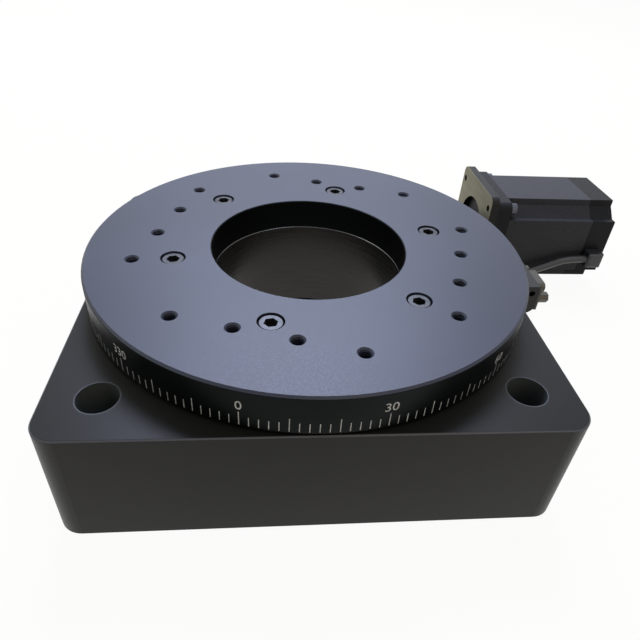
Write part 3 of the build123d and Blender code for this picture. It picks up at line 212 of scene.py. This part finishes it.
def band(tree, amount, low, high):
    """1 where a coordinate or radius lies between two values, and 0 elsewhere."""
    return add_node(tree, "ShaderNodeMath", settings={"operation": "SUBTRACT"},
                    links={0: beyond(tree, amount, low), 1: beyond(tree, amount, high)}
                    ).outputs["Value"]


def distance_from_axis(tree, place):
    """Distance of a point from the Z axis, seen from above."""
    flat = add_node(tree, "ShaderNodeMapping", values={"Scale": (1.0, 1.0, 0.0)},
                    links={"Vector": place}).outputs["Vector"]
    return add_node(tree, "ShaderNodeVectorMath", settings={"operation": "LENGTH"},
                    links={0: flat}).outputs["Value"]


def lay_over(tree, shader, mask, colour):
    """Covers the colour that a shader has with another one, where a mask is 1."""
    below = shader.inputs["Base Color"].links[0].from_socket
    both = add_node(tree, "ShaderNodeMix", settings={"data_type": "RGBA"},
                    links={"Factor": mask, "A": below})
    both.inputs["B"].default_value = linear(colour)
    tree.links.new(both.outputs["Result"], shader.inputs["Base Color"])


def bump(tree, shader, height, depth, strength=1.0):
    """Raises the surface by a pattern times depth metres."""
    made = add_node(tree, "ShaderNodeBump", values={"Strength": strength, "Distance": depth},
                    links={"Height": height})
    tree.links.new(made.outputs["Normal"], shader.inputs["Normal"])


def shade_of(hex_colour, factor):
    """The same hue, lighter or darker by a factor."""
    channels = [min(255, round(int(hex_colour[i:i + 2], 16) * factor)) for i in (1, 3, 5)]
    return "#" + "".join(f"{c:02x}" for c in channels)


# ---- Finishes ----
def blasted_anodise(name, colour, roughness, specular):
    """Aluminium, blasted with fine glass beads and dyed black in the anodising bath: an even,
    close grain with a soft satin shine, and slight clouds where the dye took more or less."""
    material, tree, shader, place = start_material(name, colour, roughness, 0.0,
                                                   Specular_IOR_Level=specular)
    clouds = grain(tree, place, 30 * MM, 2.0).outputs["Fac"]
    beads = grain(tree, place, 0.35 * MM, 2.0).outputs["Fac"]    # drawn coarser than real beads
    tone = vary(tree, clouds, 0.0, 1.0)
    tree.links.new(mix_colours(tree, tone, shade_of(colour, 0.93), shade_of(colour, 1.07)),
                   shader.inputs["Base Color"])
    spread = vary(tree, beads, roughness - 0.03, roughness + 0.04)
    tree.links.new(spread, shader.inputs["Roughness"])
    bump(tree, shader, beads, 0.01 * MM, 0.35)
    return material


def parts_of(material):
    """Node tree, shader and object coordinates of a finish."""
    tree = material.node_tree
    return (tree, tree.nodes["Principled BSDF"],
            tree.nodes["Texture Coordinate"].outputs["Object"])


def table_anodise(name, colour, shaded_rim_colour):
    """The table's black anodise: blasted and satin on top, and left as turned and metallic on its rim
    and in its aperture, which are darker by painted shade."""
    material = blasted_anodise(name, colour, 0.43, 0.3)
    tree, shader, place = parts_of(material)
    radius = distance_from_axis(tree, place)
    top = band(tree, radius, APERTURE_RADIUS + 0.3 * MM, RIM_RADIUS - 0.2 * MM)
    turned = add_node(tree, "ShaderNodeMath", settings={"operation": "SUBTRACT"},
                      values={0: 1.0}, links={1: top}).outputs["Value"]
    # painted shade: the rim and the aperture take the darker rim colour
    lay_over(tree, shader, turned, shaded_rim_colour)
    tree.links.new(turned, shader.inputs["Metallic"])
    return material


def base_anodise(name, colour):
    """The base's black anodise, with painted highlights on the broken edges round its top and round
    its bolt holes. The bored walls of the holes are paler than the blasted faces, as painted light."""
    material = blasted_anodise(name, colour, 0.37, 0.16)
    tree, shader, place = parts_of(material)
    height = add_node(tree, "ShaderNodeSeparateXYZ", links={"Vector": place}).outputs["Z"]
    edge = band(tree, height, BASE_TOP - 0.55 * MM, BASE_TOP - 0.06 * MM)
    # painted highlight along the broken edge round the base's top
    lay_over(tree, shader, edge, BASE_EDGE_HIGHLIGHT_COLOUR)
    quarter = add_node(tree, "ShaderNodeVectorMath", settings={"operation": "ABSOLUTE"},
                      links={0: place}).outputs["Vector"]
    bolt = add_node(tree, "ShaderNodeMapping",
                    values={"Location": (-BOLT_PLACE, -BOLT_PLACE, 0.0)},
                    links={"Vector": quarter}).outputs["Vector"]
    radius = distance_from_axis(tree, bolt)
    mouth = BOLT_HEAD_RADIUS + 0.1 * MM
    # painted light on the bored walls and floors of the bolt holes
    lay_over(tree, shader, band(tree, radius, 0.0, mouth), BORED_WALL_LIGHT_COLOUR)
    # painted highlight round the mouths of the bolt holes
    lay_over(tree, shader, band(tree, radius, mouth, mouth + 0.35 * MM), BOLT_EDGE_HIGHLIGHT_COLOUR)
    return material


def hub_anodise(name, colour):
    """The hub's black anodise over a fine turned bore, which mirrors softly. A pale band at
    the bore's top edge is a painted highlight."""
    material, tree, shader, place = start_material(name, colour, 0.3, 0.7)
    rings = add_node(tree, "ShaderNodeMapping", values={"Scale": (0.05, 0.05, 1.0)},
                     links={"Vector": place}).outputs["Vector"]
    marks = grain(tree, rings, 0.5 * MM, 3.0).outputs["Fac"]
    tree.links.new(mix_colours(tree, vary(tree, marks, 0.0, 1.0), shade_of(colour, 0.88),
                               shade_of(colour, 1.1)), shader.inputs["Base Color"])
    tree.links.new(vary(tree, marks, 0.24, 0.34), shader.inputs["Roughness"])
    bump(tree, shader, marks, 0.01 * MM, 0.3)
    height = add_node(tree, "ShaderNodeSeparateXYZ", links={"Vector": place}).outputs["Z"]
    # painted highlight on the bore's top edge
    lay_over(tree, shader, beyond(tree, height, HUB_TOP - 0.45 * MM), HUB_EDGE_HIGHLIGHT_COLOUR)
    return material


MILLED_METALLIC = 0.55    # of a thinly oxidised face, part metal and part film


def machined_aluminium(name, colour):
    """Aluminium straight from the mill: a warm pale grey with fine parallel tool marks."""
    material, tree, shader, place = start_material(name, colour, 0.42, MILLED_METALLIC,
                                                   Specular_IOR_Level=0.15)
    stretched = add_node(tree, "ShaderNodeMapping", values={"Scale": (1.0, 0.06, 1.0)},
                         links={"Vector": place}).outputs["Vector"]
    marks = grain(tree, stretched, 0.5 * MM, 3.0).outputs["Fac"]
    stains = grain(tree, place, 12 * MM, 2.0).outputs["Fac"]
    tree.links.new(mix_colours(tree, vary(tree, stains, 0.0, 1.0), shade_of(colour, 0.9),
                               shade_of(colour, 1.06)), shader.inputs["Base Color"])
    tree.links.new(vary(tree, marks, 0.34, 0.5), shader.inputs["Roughness"])
    bump(tree, shader, marks, 0.02 * MM, 0.3)
    return material


def faced_plate(name, colour, black):
    """The adapter plate: anodised black all over, then milled bare on its open face."""
    material = machined_aluminium(name, colour)
    tree, shader, place = parts_of(material)
    along = add_node(tree, "ShaderNodeSeparateXYZ", links={"Vector": place}).outputs["X"]
    coated = beyond(tree, along, PLATE_FACE + 0.15 * MM)
    lay_over(tree, shader, coated, black)
    tree.links.new(vary(tree, coated, MILLED_METALLIC, 0.0, 0.0, 1.0), shader.inputs["Metallic"])
    return material


def turned_metal(name, colour, roughness, metallic=1.0, mark=0.3 * MM):
    """Metal turned, ground or plated: fine marks of slightly different shine all over."""
    material, tree, shader, place = start_material(name, colour, roughness, metallic)
    marks = grain(tree, place, mark, 2.0).outputs["Fac"]
    tone = grain(tree, place, 6 * MM, 2.0).outputs["Fac"]
    tree.links.new(mix_colours(tree, vary(tree, tone, 0.0, 1.0), shade_of(colour, 0.9),
                               shade_of(colour, 1.05)), shader.inputs["Base Color"])
    tree.links.new(vary(tree, marks, roughness * 0.8, roughness * 1.25),
                   shader.inputs["Roughness"])
    bump(tree, shader, marks, 0.01 * MM, 0.25)
    return material


def black_oxide(name, colour):
    """Hardened steel, hot blacked and oiled: near black, with a greasy shine on the edges."""
    material, tree, shader, place = start_material(name, colour, 0.36, 0.6)
    film = grain(tree, place, 1.5 * MM, 3.0).outputs["Fac"]
    tree.links.new(mix_colours(tree, vary(tree, film, 0.0, 1.0), shade_of(colour, 0.8),
                               shade_of(colour, 1.15)), shader.inputs["Base Color"])
    tree.links.new(vary(tree, film, 0.28, 0.44), shader.inputs["Roughness"])
    return material


WAVE_BANDS = 0.314    # a wave texture at this scale repeats once a metre


def motor_paint(name, colour, specular, lines):
    """Satin black paint over the motor's steel sheets or cast bells. Where it covers the stack
    the edges of the sheets read through it as close lines across the motor's length."""
    material, tree, shader, place = start_material(name, colour, 0.42, 0.0,
                                                   Specular_IOR_Level=specular)
    specks = grain(tree, place, 0.8 * MM, 3.0).outputs["Fac"]
    tree.links.new(mix_colours(tree, vary(tree, specks, 0.0, 1.0), shade_of(colour, 0.92),
                               shade_of(colour, 1.08)), shader.inputs["Base Color"])
    tree.links.new(vary(tree, specks, 0.37, 0.5), shader.inputs["Roughness"])
    height = specks
    if lines:
        sheet = 1.0 * MM    # twice a real sheet's 0.5 mm, so that the lines can show
        waves = add_node(tree, "ShaderNodeTexWave",
                         settings={"wave_type": "BANDS", "bands_direction": "X"},
                         values={"Scale": WAVE_BANDS / sheet, "Distortion": 0.0},
                         links={"Vector": place})
        height = add_node(tree, "ShaderNodeMath", settings={"operation": "MULTIPLY_ADD"},
                          values={1: 0.35}, links={0: specks, 2: waves.outputs["Fac"]}
                          ).outputs["Value"]
    bump(tree, shader, height, 0.03 * MM, 0.5 if lines else 0.3)
    return material


def moulded_plastic(name, colour, roughness=0.48):
    """Injection moulded plastic with a fine spark-eroded texture."""
    material, tree, shader, place = start_material(name, colour, roughness, 0.0)
    skin = grain(tree, place, 0.4 * MM, 2.0).outputs["Fac"]
    tree.links.new(mix_colours(tree, vary(tree, skin, 0.0, 1.0), shade_of(colour, 0.9),
                               shade_of(colour, 1.1)), shader.inputs["Base Color"])
    tree.links.new(vary(tree, skin, roughness - 0.05, roughness + 0.06),
                   shader.inputs["Roughness"])
    bump(tree, shader, skin, 0.02 * MM, 0.3)
    return material


def engraving_paint(name, colour):
    """Pale lacquer wiped into the engraved lines: slightly uneven, not quite matt."""
    material, tree, shader, place = start_material(name, colour, 0.6, 0.0)
    wear = grain(tree, place, 2.5 * MM, 3.0).outputs["Fac"]
    tree.links.new(mix_colours(tree, vary(tree, wear, 0.0, 1.0), shade_of(colour, 0.78),
                               shade_of(colour, 1.05)), shader.inputs["Base Color"])
    return material


FINISHES = {}


def make_finishes(colours):
    """Builds each finish once and keeps it by name."""
    FINISHES.update({
        # colours.rim is painted shade on the table's rim and in its aperture
        "table": table_anodise("blasted_anodise_table", colours.table, colours.rim),
        "base": base_anodise("blasted_anodise_base", colours.base),
        "anodise": blasted_anodise("blasted_anodise", colours.base, 0.42, 0.25),
        "hub": hub_anodise("turned_anodise", "#343230"),
        "plate": faced_plate("faced_aluminium_plate", colours.plate, colours.base),
        "coupling": turned_metal("turned_aluminium", "#b8b8b4", 0.35),
        "steel": turned_metal("ground_steel", "#a9abad", 0.28),
        "races": turned_metal("lapped_bearing_steel", "#b4b6b8", 0.18),
        "bronze": turned_metal("machined_bronze", "#b3874f", 0.33),
        "copper": turned_metal("enamelled_copper", "#9a5a33", 0.4, 0.8),
        "oxide": black_oxide("black_oxide_steel", "#2e2e30"),
        "zinc": turned_metal("zinc_plated_steel", "#4b4e55", 0.36, 0.8),
        "stack": motor_paint("painted_laminations", colours.motor, 0.12, True),
        "bell": motor_paint("painted_castings", shade_of(colours.motor, 0.5), 0.1, False),
        "tin": turned_metal("tin_plated_steel", "#47453e", 0.38, 0.7),
        "gold": turned_metal("gold_plated_contact", "#d1a853", 0.22),
        "nickel": turned_metal("nickel_plated_magnet", "#b9b7b0", 0.2),
        "plastic": moulded_plastic("black_moulded_plastic", "#1c1c1d"),
        "jacket": moulded_plastic("black_cable_jacket", "#242528", 0.4),
        "engraving": engraving_paint("engraving_lacquer", colours.engraving),
        # the numbers take a darker copy of the lines' lacquer, as painted shade
        "numbers": engraving_paint("shaded_number_lacquer", shade_of(colours.engraving, 0.72)),
    })


NODE_FINISHES = {
    "table": ("table_plate",),
    "base": ("base_housing",),
    "anodise": ("bottom_cover", "inner_clamp_ring", "outer_clamp_ring", "worm_housing",
                "worm_carrier_closed", "worm_carrier_open", "connector_block"),
    "hub": ("hub",),
    "plate": ("motor_plate",),
    "coupling": ("shaft_coupling",),
    "steel": ("worm_shaft", "motor_shaft", "rotor"),
    "races": ("bearing_inner_ring", "bearing_outer_ring", "bearing_rollers",
              "shaft_bearing_inner_rings", "shaft_bearing_outer_rings", "shaft_bearing_balls"),
    "bronze": ("worm_wheel",),
    "copper": ("stator_windings",),
    "oxide": ("table_screws", "wheel_screws", "inner_clamp_screws", "outer_clamp_screws",
              "cover_screws", "housing_screws", "carrier_screws", "coupling_screws",
              "bracket_screws", "motor_tie_bolts", "block_screws"),
    "zinc": ("motor_screws", "home_switch_screws"),
    "stack": ("stator_stack",),
    "bell": ("motor_front_bell", "motor_rear_bell"),
    "tin": ("socket_shell", "jack_screws"),
    "gold": ("socket_contacts",),
    "nickel": ("home_magnet",),
    "plastic": ("socket_insulator", "lead_gland", "home_switch"),
    "jacket": ("lead_elbow", "motor_lead"),
}


def dress(piece, finish):
    """Puts one finish on a piece in place of what it has."""
    piece.data.materials.clear()
    piece.data.materials.append(FINISHES[finish])


def finish_piece(shape, name, finish, body):
    """Writes a bmesh to a new object that rides on a body."""
    mesh = bpy.data.meshes.new(name)
    shape.to_mesh(mesh)
    shape.free()
    piece = bpy.data.objects.new(name, mesh)
    bpy.context.scene.collection.objects.link(piece)
    dress(piece, finish)
    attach(piece, body)
    return piece


# ---- Operators ----
class STAGE_OT_finishes(bpy.types.Operator):
    """Give every machined piece its finish"""
    bl_idname = "rotation_stage.finishes"
    bl_label = "Finishes"

    def execute(self, context):
        make_finishes(context.scene.stage_colours)
        for finish, nodes in NODE_FINISHES.items():
            for name in nodes:
                dress(frame["nodes"][name], finish)
        return {"FINISHED"}


def digit_mesh(text, height):
    """Flat number in the XY plane, centred on x = 0 with its foot at y = 0."""
    curve = bpy.data.curves.new("digits", "FONT")
    curve.body = text
    curve.align_x = "CENTER"
    curve.size = 1.0
    curve.resolution_u = 4
    source = bpy.data.objects.new("digits", curve)
    mesh = bpy.data.meshes.new_from_object(source)
    bpy.data.objects.remove(source)
    bpy.data.curves.remove(curve)
    shape = bmesh.new()
    shape.from_mesh(mesh)
    bpy.data.meshes.remove(mesh)
    low = min(v.co.y for v in shape.verts)
    high = max(v.co.y for v in shape.verts)
    factor = height / (high - low)
    bmesh.ops.translate(shape, verts=shape.verts, vec=(0, -low, 0))
    bmesh.ops.scale(shape, verts=shape.verts, vec=(factor, factor, 1))
    return shape


class STAGE_OT_scale(bpy.types.Operator):
    """Engrave the degree scale on the table's rim"""
    bl_idname = "rotation_stage.scale"
    bl_label = "Degree scale"

    def execute(self, context):
        sizes = context.scene.scale_sizes
        shape = bmesh.new()
        depth = 0.3 * MM    # of each line and digit into the rim
        foot = TABLE_LOW.z + sizes.line_foot
        for degree in range(0, 360, sizes.minor_step):
            length = sizes.minor_length if degree % sizes.major_step else sizes.major_length
            line = bmesh.ops.create_cube(shape, size=1.0)["verts"]
            bmesh.ops.scale(shape, verts=line, vec=(depth, sizes.line_width, length))
            reach = RIM_RADIUS + sizes.inlay - depth / 2
            bmesh.ops.translate(shape, verts=line, vec=(reach, 0, foot + length / 2))
            angle = math.radians(degree - 90) + sizes.turn
            bmesh.ops.rotate(shape, verts=line, matrix=Matrix.Rotation(angle, 3, "Z"))
        line_faces = len(shape.faces)
        number_foot = foot + sizes.major_length + sizes.number_gap
        for degree in range(0, 360, sizes.number_step):
            digits = digit_mesh(str(degree), sizes.number_height)
            angle = math.radians(degree - 90) + sizes.turn
            for corner in digits.verts:
                around = angle + corner.co.x / RIM_RADIUS
                reach = RIM_RADIUS + sizes.inlay
                corner.co = (reach * math.cos(around), reach * math.sin(around),
                             number_foot + corner.co.y)
            whole = bmesh.ops.extrude_face_region(digits, geom=digits.faces[:])
            back = [v for v in whole["geom"] if isinstance(v, bmesh.types.BMVert)]
            shrink = (RIM_RADIUS - depth) / RIM_RADIUS
            bmesh.ops.scale(digits, verts=back, vec=(shrink, shrink, 1))
            bmesh.ops.recalc_face_normals(digits, faces=digits.faces)
            block = bpy.data.meshes.new("number")
            digits.to_mesh(block)
            digits.free()
            shape.from_mesh(block)
            bpy.data.meshes.remove(block)
        shape.faces.index_update()
        for face in shape.faces:
            face.material_index = int(face.index >= line_faces)
        scale = finish_piece(shape, "degree_scale", "engraving", "table")
        # second slot: the darker copy of the lacquer, painted shade on the numbers
        scale.data.materials.append(FINISHES["numbers"])
        return {"FINISHED"}


HOLES_ALONG_ROW = (-1.5, -0.5, 0.5, 1.5)    # in pitches, from the row's middle
THREAD_STEPS = 18                           # facets in each turn of a thread
CREST_START = 0.42                          # of the pitch, where the flank meets the crest
CREST_END = 0.58


class STAGE_OT_threads(bpy.types.Operator):
    """Cut the threads of the table's tapped holes"""
    bl_idname = "rotation_stage.threads"
    bl_label = "Tapped threads"

    def execute(self, context):
        sizes = context.scene.thread_sizes
        shape = bmesh.new()
        for side in range(4):
            for place in HOLES_ALONG_ROW:
                profile = [shape.verts.new((radius, 0, -sizes.mouth - drop)) for radius, drop in (
                    (sizes.wall, 0), (sizes.crest, CREST_START * sizes.pitch),
                    (sizes.crest, CREST_END * sizes.pitch), (sizes.wall, sizes.pitch))]
                edges = [shape.edges.new(pair) for pair in zip(profile, profile[1:])]
                before = set(shape.verts) - set(profile)
                bmesh.ops.spin(shape, geom=profile + edges, cent=(0, 0, 0), axis=(0, 0, 1),
                               dvec=(0, 0, -sizes.pitch / THREAD_STEPS),
                               angle=2 * math.pi * sizes.turns,
                               steps=THREAD_STEPS * sizes.turns, use_merge=False)
                made = [v for v in shape.verts if v not in before]
                bmesh.ops.translate(shape, verts=made, vec=(
                    place * sizes.hole_pitch, -sizes.row_offset, TABLE_HIGH.z))
                turn = context.scene.scale_sizes.turn + side * math.pi / 2
                bmesh.ops.rotate(shape, verts=made, matrix=Matrix.Rotation(turn, 3, "Z"))
        bmesh.ops.remove_doubles(shape, verts=shape.verts, dist=0.001 * MM)
        for face in shape.faces:
            face.smooth = True
        finish_piece(shape, "tapped_threads", "table", "table")
        return {"FINISHED"}


# The lead's route in metres, from the elbow on the motor to the gland in the base.
LEAD_ROUTE = (
    (0.188, 0.0698, 0.023),
    (0.175, 0.0698, 0.023),
    (0.1635, 0.0696, 0.018),
    (0.150, 0.0686, 0.013),
    (0.136, 0.0655, 0.011),
    (0.117, 0.0605, 0.017),
    (0.106, 0.0605, 0.017),
)
LEAD_DIAMETER = 5.0 * MM


class STAGE_OT_lead(bpy.types.Operator):
    """Lay the motor's lead from its elbow to the gland"""
    bl_idname = "rotation_stage.lead"
    bl_label = "Motor lead"

    def execute(self, context):
        curve = bpy.data.curves.new("motor_lead_jacket", "CURVE")
        curve.dimensions = "3D"
        spline = curve.splines.new("NURBS")
        spline.points.add(len(LEAD_ROUTE) - 1)
        for point, place in zip(spline.points, LEAD_ROUTE):
            point.co = (*place, 1.0)
        spline.order_u = 3
        spline.use_endpoint_u = True
        spline.resolution_u = 16
        curve.bevel_depth = LEAD_DIAMETER / 2
        curve.bevel_resolution = 5
        curve.use_fill_caps = True
        lead = bpy.data.objects.new("motor_lead_jacket", curve)
        context.scene.collection.objects.link(lead)
        dress(lead, "jacket")
        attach(lead, "base")
        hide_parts("motor_lead")
        return {"FINISHED"}


# ---- Studio ----
CAMERA_PLACE = (-0.0201, -0.2239, 0.1997)
CAMERA_AZIMUTH = math.radians(-6.783)
CAMERA_ELEVATION = math.radians(36.169)
CAMERA_ROLL = math.radians(4.062)
IMAGE_WIDTH = 640                 # pixels, and as many high
IMAGE_CENTRE = (318.52, 307.10)   # pixel that the lens looks straight at
FOCAL_PIXELS = 548.39
SENSOR_WIDTH = 36.0
LAMPS = (
    # name, place, target and size in metres, power in watts, colour
    ("window_light", (0.06, 1.1, 1.4), (0, 0, 0.05), (0.9, 0.75), 44.5, "#d4dfff"),
    ("left_light", (-1.3, 0.2, 1.2), (0, 0, 0.05), (0.9, 0.9), 5.5, "#eefaf2"),
    ("front_fill", (0.5, -1.3, 0.8), (0, 0, 0.03), (0.8, 0.8), 2.7, "#ffdcae"),
    ("top_light", (0.5, -0.3, 1.5), (0.05, 0, 0.05), (0.7, 0.7), 4, "#e6e9ff"),
)
WORLD_STRENGTH = 0.22
FLOOR_WHITE_SHARE = 0.95    # the rest of the floor's look is lit paper, which takes the shadow
FLOOR_HALF_WIDTH = 4.0


def place_camera(scene):
    """Camera from its place, the direction it looks back along, and its roll."""
    az, el, roll = CAMERA_AZIMUTH, CAMERA_ELEVATION, CAMERA_ROLL
    back = Vector((math.sin(az) * math.cos(el), -math.cos(az) * math.cos(el), math.sin(el)))
    right = (-back).cross(Vector((0, 0, 1))).normalized()
    up = right.cross(-back)
    rolled_right = right * math.cos(roll) + up * math.sin(roll)
    rolled_up = up * math.cos(roll) - right * math.sin(roll)
    data = bpy.data.cameras.new("studio_camera")
    data.sensor_width = SENSOR_WIDTH
    data.lens = FOCAL_PIXELS * SENSOR_WIDTH / IMAGE_WIDTH
    data.shift_x = 0.5 - IMAGE_CENTRE[0] / IMAGE_WIDTH
    data.shift_y = IMAGE_CENTRE[1] / IMAGE_WIDTH - 0.5
    data.clip_start = 0.01
    camera = bpy.data.objects.new("studio_camera", data)
    camera.matrix_world = Matrix((
        (rolled_right.x, rolled_up.x, back.x, CAMERA_PLACE[0]),
        (rolled_right.y, rolled_up.y, back.y, CAMERA_PLACE[1]),
        (rolled_right.z, rolled_up.z, back.z, CAMERA_PLACE[2]),
        (0, 0, 0, 1)))
    scene.collection.objects.link(camera)
    scene.camera = camera


def softbox(scene, name, place, target, size, power, colour):
    """Rectangular lamp at a place, aimed at a target."""
    data = bpy.data.lights.new(name, "AREA")
    data.shape = "RECTANGLE"
    data.size, data.size_y = size
    data.energy = power
    data.color = linear(colour)[:3]
    lamp = bpy.data.objects.new(name, data)
    aim = (Vector(target) - Vector(place)).to_track_quat("-Z", "Y")
    lamp.matrix_world = Matrix.Translation(place) @ aim.to_matrix().to_4x4()
    scene.collection.objects.link(lamp)


def seen_directly(tree):
    """1 for camera, glossy and transmission rays, and 0 for the light that falls on things."""
    rays = add_node(tree, "ShaderNodeLightPath").outputs
    first = add_node(tree, "ShaderNodeMath", settings={"operation": "MAXIMUM"},
                     links={0: rays["Is Camera Ray"], 1: rays["Is Glossy Ray"]})
    return add_node(tree, "ShaderNodeMath", settings={"operation": "MAXIMUM"},
                    links={0: first.outputs["Value"], 1: rays["Is Transmission Ray"]}
                    ).outputs["Value"]


def floor_material(colour):
    """Pale seamless paper. It shows nearly white, and keeps part of the object's shadow."""
    material, tree, shader, place = start_material("seamless_paper", colour, 0.9, 0.0)
    fibres = grain(tree, place, 3 * MM, 3.0).outputs["Fac"]
    tree.links.new(mix_colours(tree, vary(tree, fibres, 0.0, 1.0), shade_of(colour, 0.99), colour),
                   shader.inputs["Base Color"])
    white = add_node(tree, "ShaderNodeEmission", values={"Color": (1, 1, 1, 1), "Strength": 1.0})
    share = add_node(tree, "ShaderNodeMath", settings={"operation": "MULTIPLY"},
                     values={1: FLOOR_WHITE_SHARE}, links={0: seen_directly(tree)}
                     ).outputs["Value"]
    both = add_node(tree, "ShaderNodeMixShader",
                    links={0: share, 1: shader.outputs["BSDF"], 2: white.outputs["Emission"]})
    out = tree.nodes["Material Output"]
    tree.links.new(both.outputs["Shader"], out.inputs["Surface"])
    return material


def set_world(scene):
    """Even dim light on things, and white where it is seen or mirrored."""
    world = bpy.data.worlds.new("studio_world")
    world.use_nodes = True
    tree = world.node_tree
    tree.nodes.clear()
    dim = add_node(tree, "ShaderNodeBackground",
                   values={"Color": linear("#eef1f5"), "Strength": WORLD_STRENGTH})
    white = add_node(tree, "ShaderNodeBackground", values={"Color": (1, 1, 1, 1), "Strength": 1.0})
    both = add_node(tree, "ShaderNodeMixShader", links={
        0: seen_directly(tree), 1: dim.outputs["Background"], 2: white.outputs["Background"]})
    add_node(tree, "ShaderNodeOutputWorld", links={"Surface": both.outputs["Shader"]})
    scene.world = world


class STAGE_OT_studio(bpy.types.Operator):
    """Add the floor, lamps, world and camera"""
    bl_idname = "rotation_stage.studio"
    bl_label = "Studio"

    def execute(self, context):
        scene = context.scene
        shape = bmesh.new()
        bmesh.ops.create_grid(shape, x_segments=2, y_segments=2, size=FLOOR_HALF_WIDTH)
        mesh = bpy.data.meshes.new("studio_floor")
        shape.to_mesh(mesh)
        shape.free()
        floor = bpy.data.objects.new("studio_floor", mesh)
        scene.collection.objects.link(floor)
        floor.data.materials.append(floor_material(scene.stage_colours.floor))
        for lamp in LAMPS:
            softbox(scene, *lamp)
        set_world(scene)
        place_camera(scene)
        scene.view_settings.view_transform = "Standard"
        return {"FINISHED"}


class STAGE_PT_panel(bpy.types.Panel):
    """Buttons for every step of dressing the stage"""
    bl_idname = "STAGE_PT_panel"
    bl_label = "Rotation Stage"
    bl_space_type = "VIEW_3D"
    bl_region_type = "UI"
    bl_category = "Rotation Stage"

    def draw(self, context):
        for operator in OPERATORS:
            self.layout.operator(operator.bl_idname)


OPERATORS = (STAGE_OT_finishes, STAGE_OT_studio, STAGE_OT_lead, STAGE_OT_scale, STAGE_OT_threads)
GROUPS = {"scale_sizes": ScaleSizes, "thread_sizes": ThreadSizes, "stage_colours": StageColours}


def register():
    for group in GROUPS.values():
        bpy.utils.register_class(group)
    for operator in OPERATORS:
        bpy.utils.register_class(operator)
    bpy.utils.register_class(STAGE_PT_panel)
    for name, group in GROUPS.items():
        setattr(bpy.types.Scene, name, bpy.props.PointerProperty(type=group))


def unregister():
    for name in GROUPS:
        delattr(bpy.types.Scene, name)
    bpy.utils.unregister_class(STAGE_PT_panel)
    for operator in reversed(OPERATORS):
        bpy.utils.unregister_class(operator)
    for group in GROUPS.values():
        bpy.utils.unregister_class(group)


def main():
    """Runs every operator in order."""
    register()
    bpy.ops.rotation_stage.finishes()
    bpy.ops.rotation_stage.studio()
    bpy.ops.rotation_stage.lead()
    bpy.ops.rotation_stage.scale()
    bpy.ops.rotation_stage.threads()


if __name__ == "__main__":
    main()
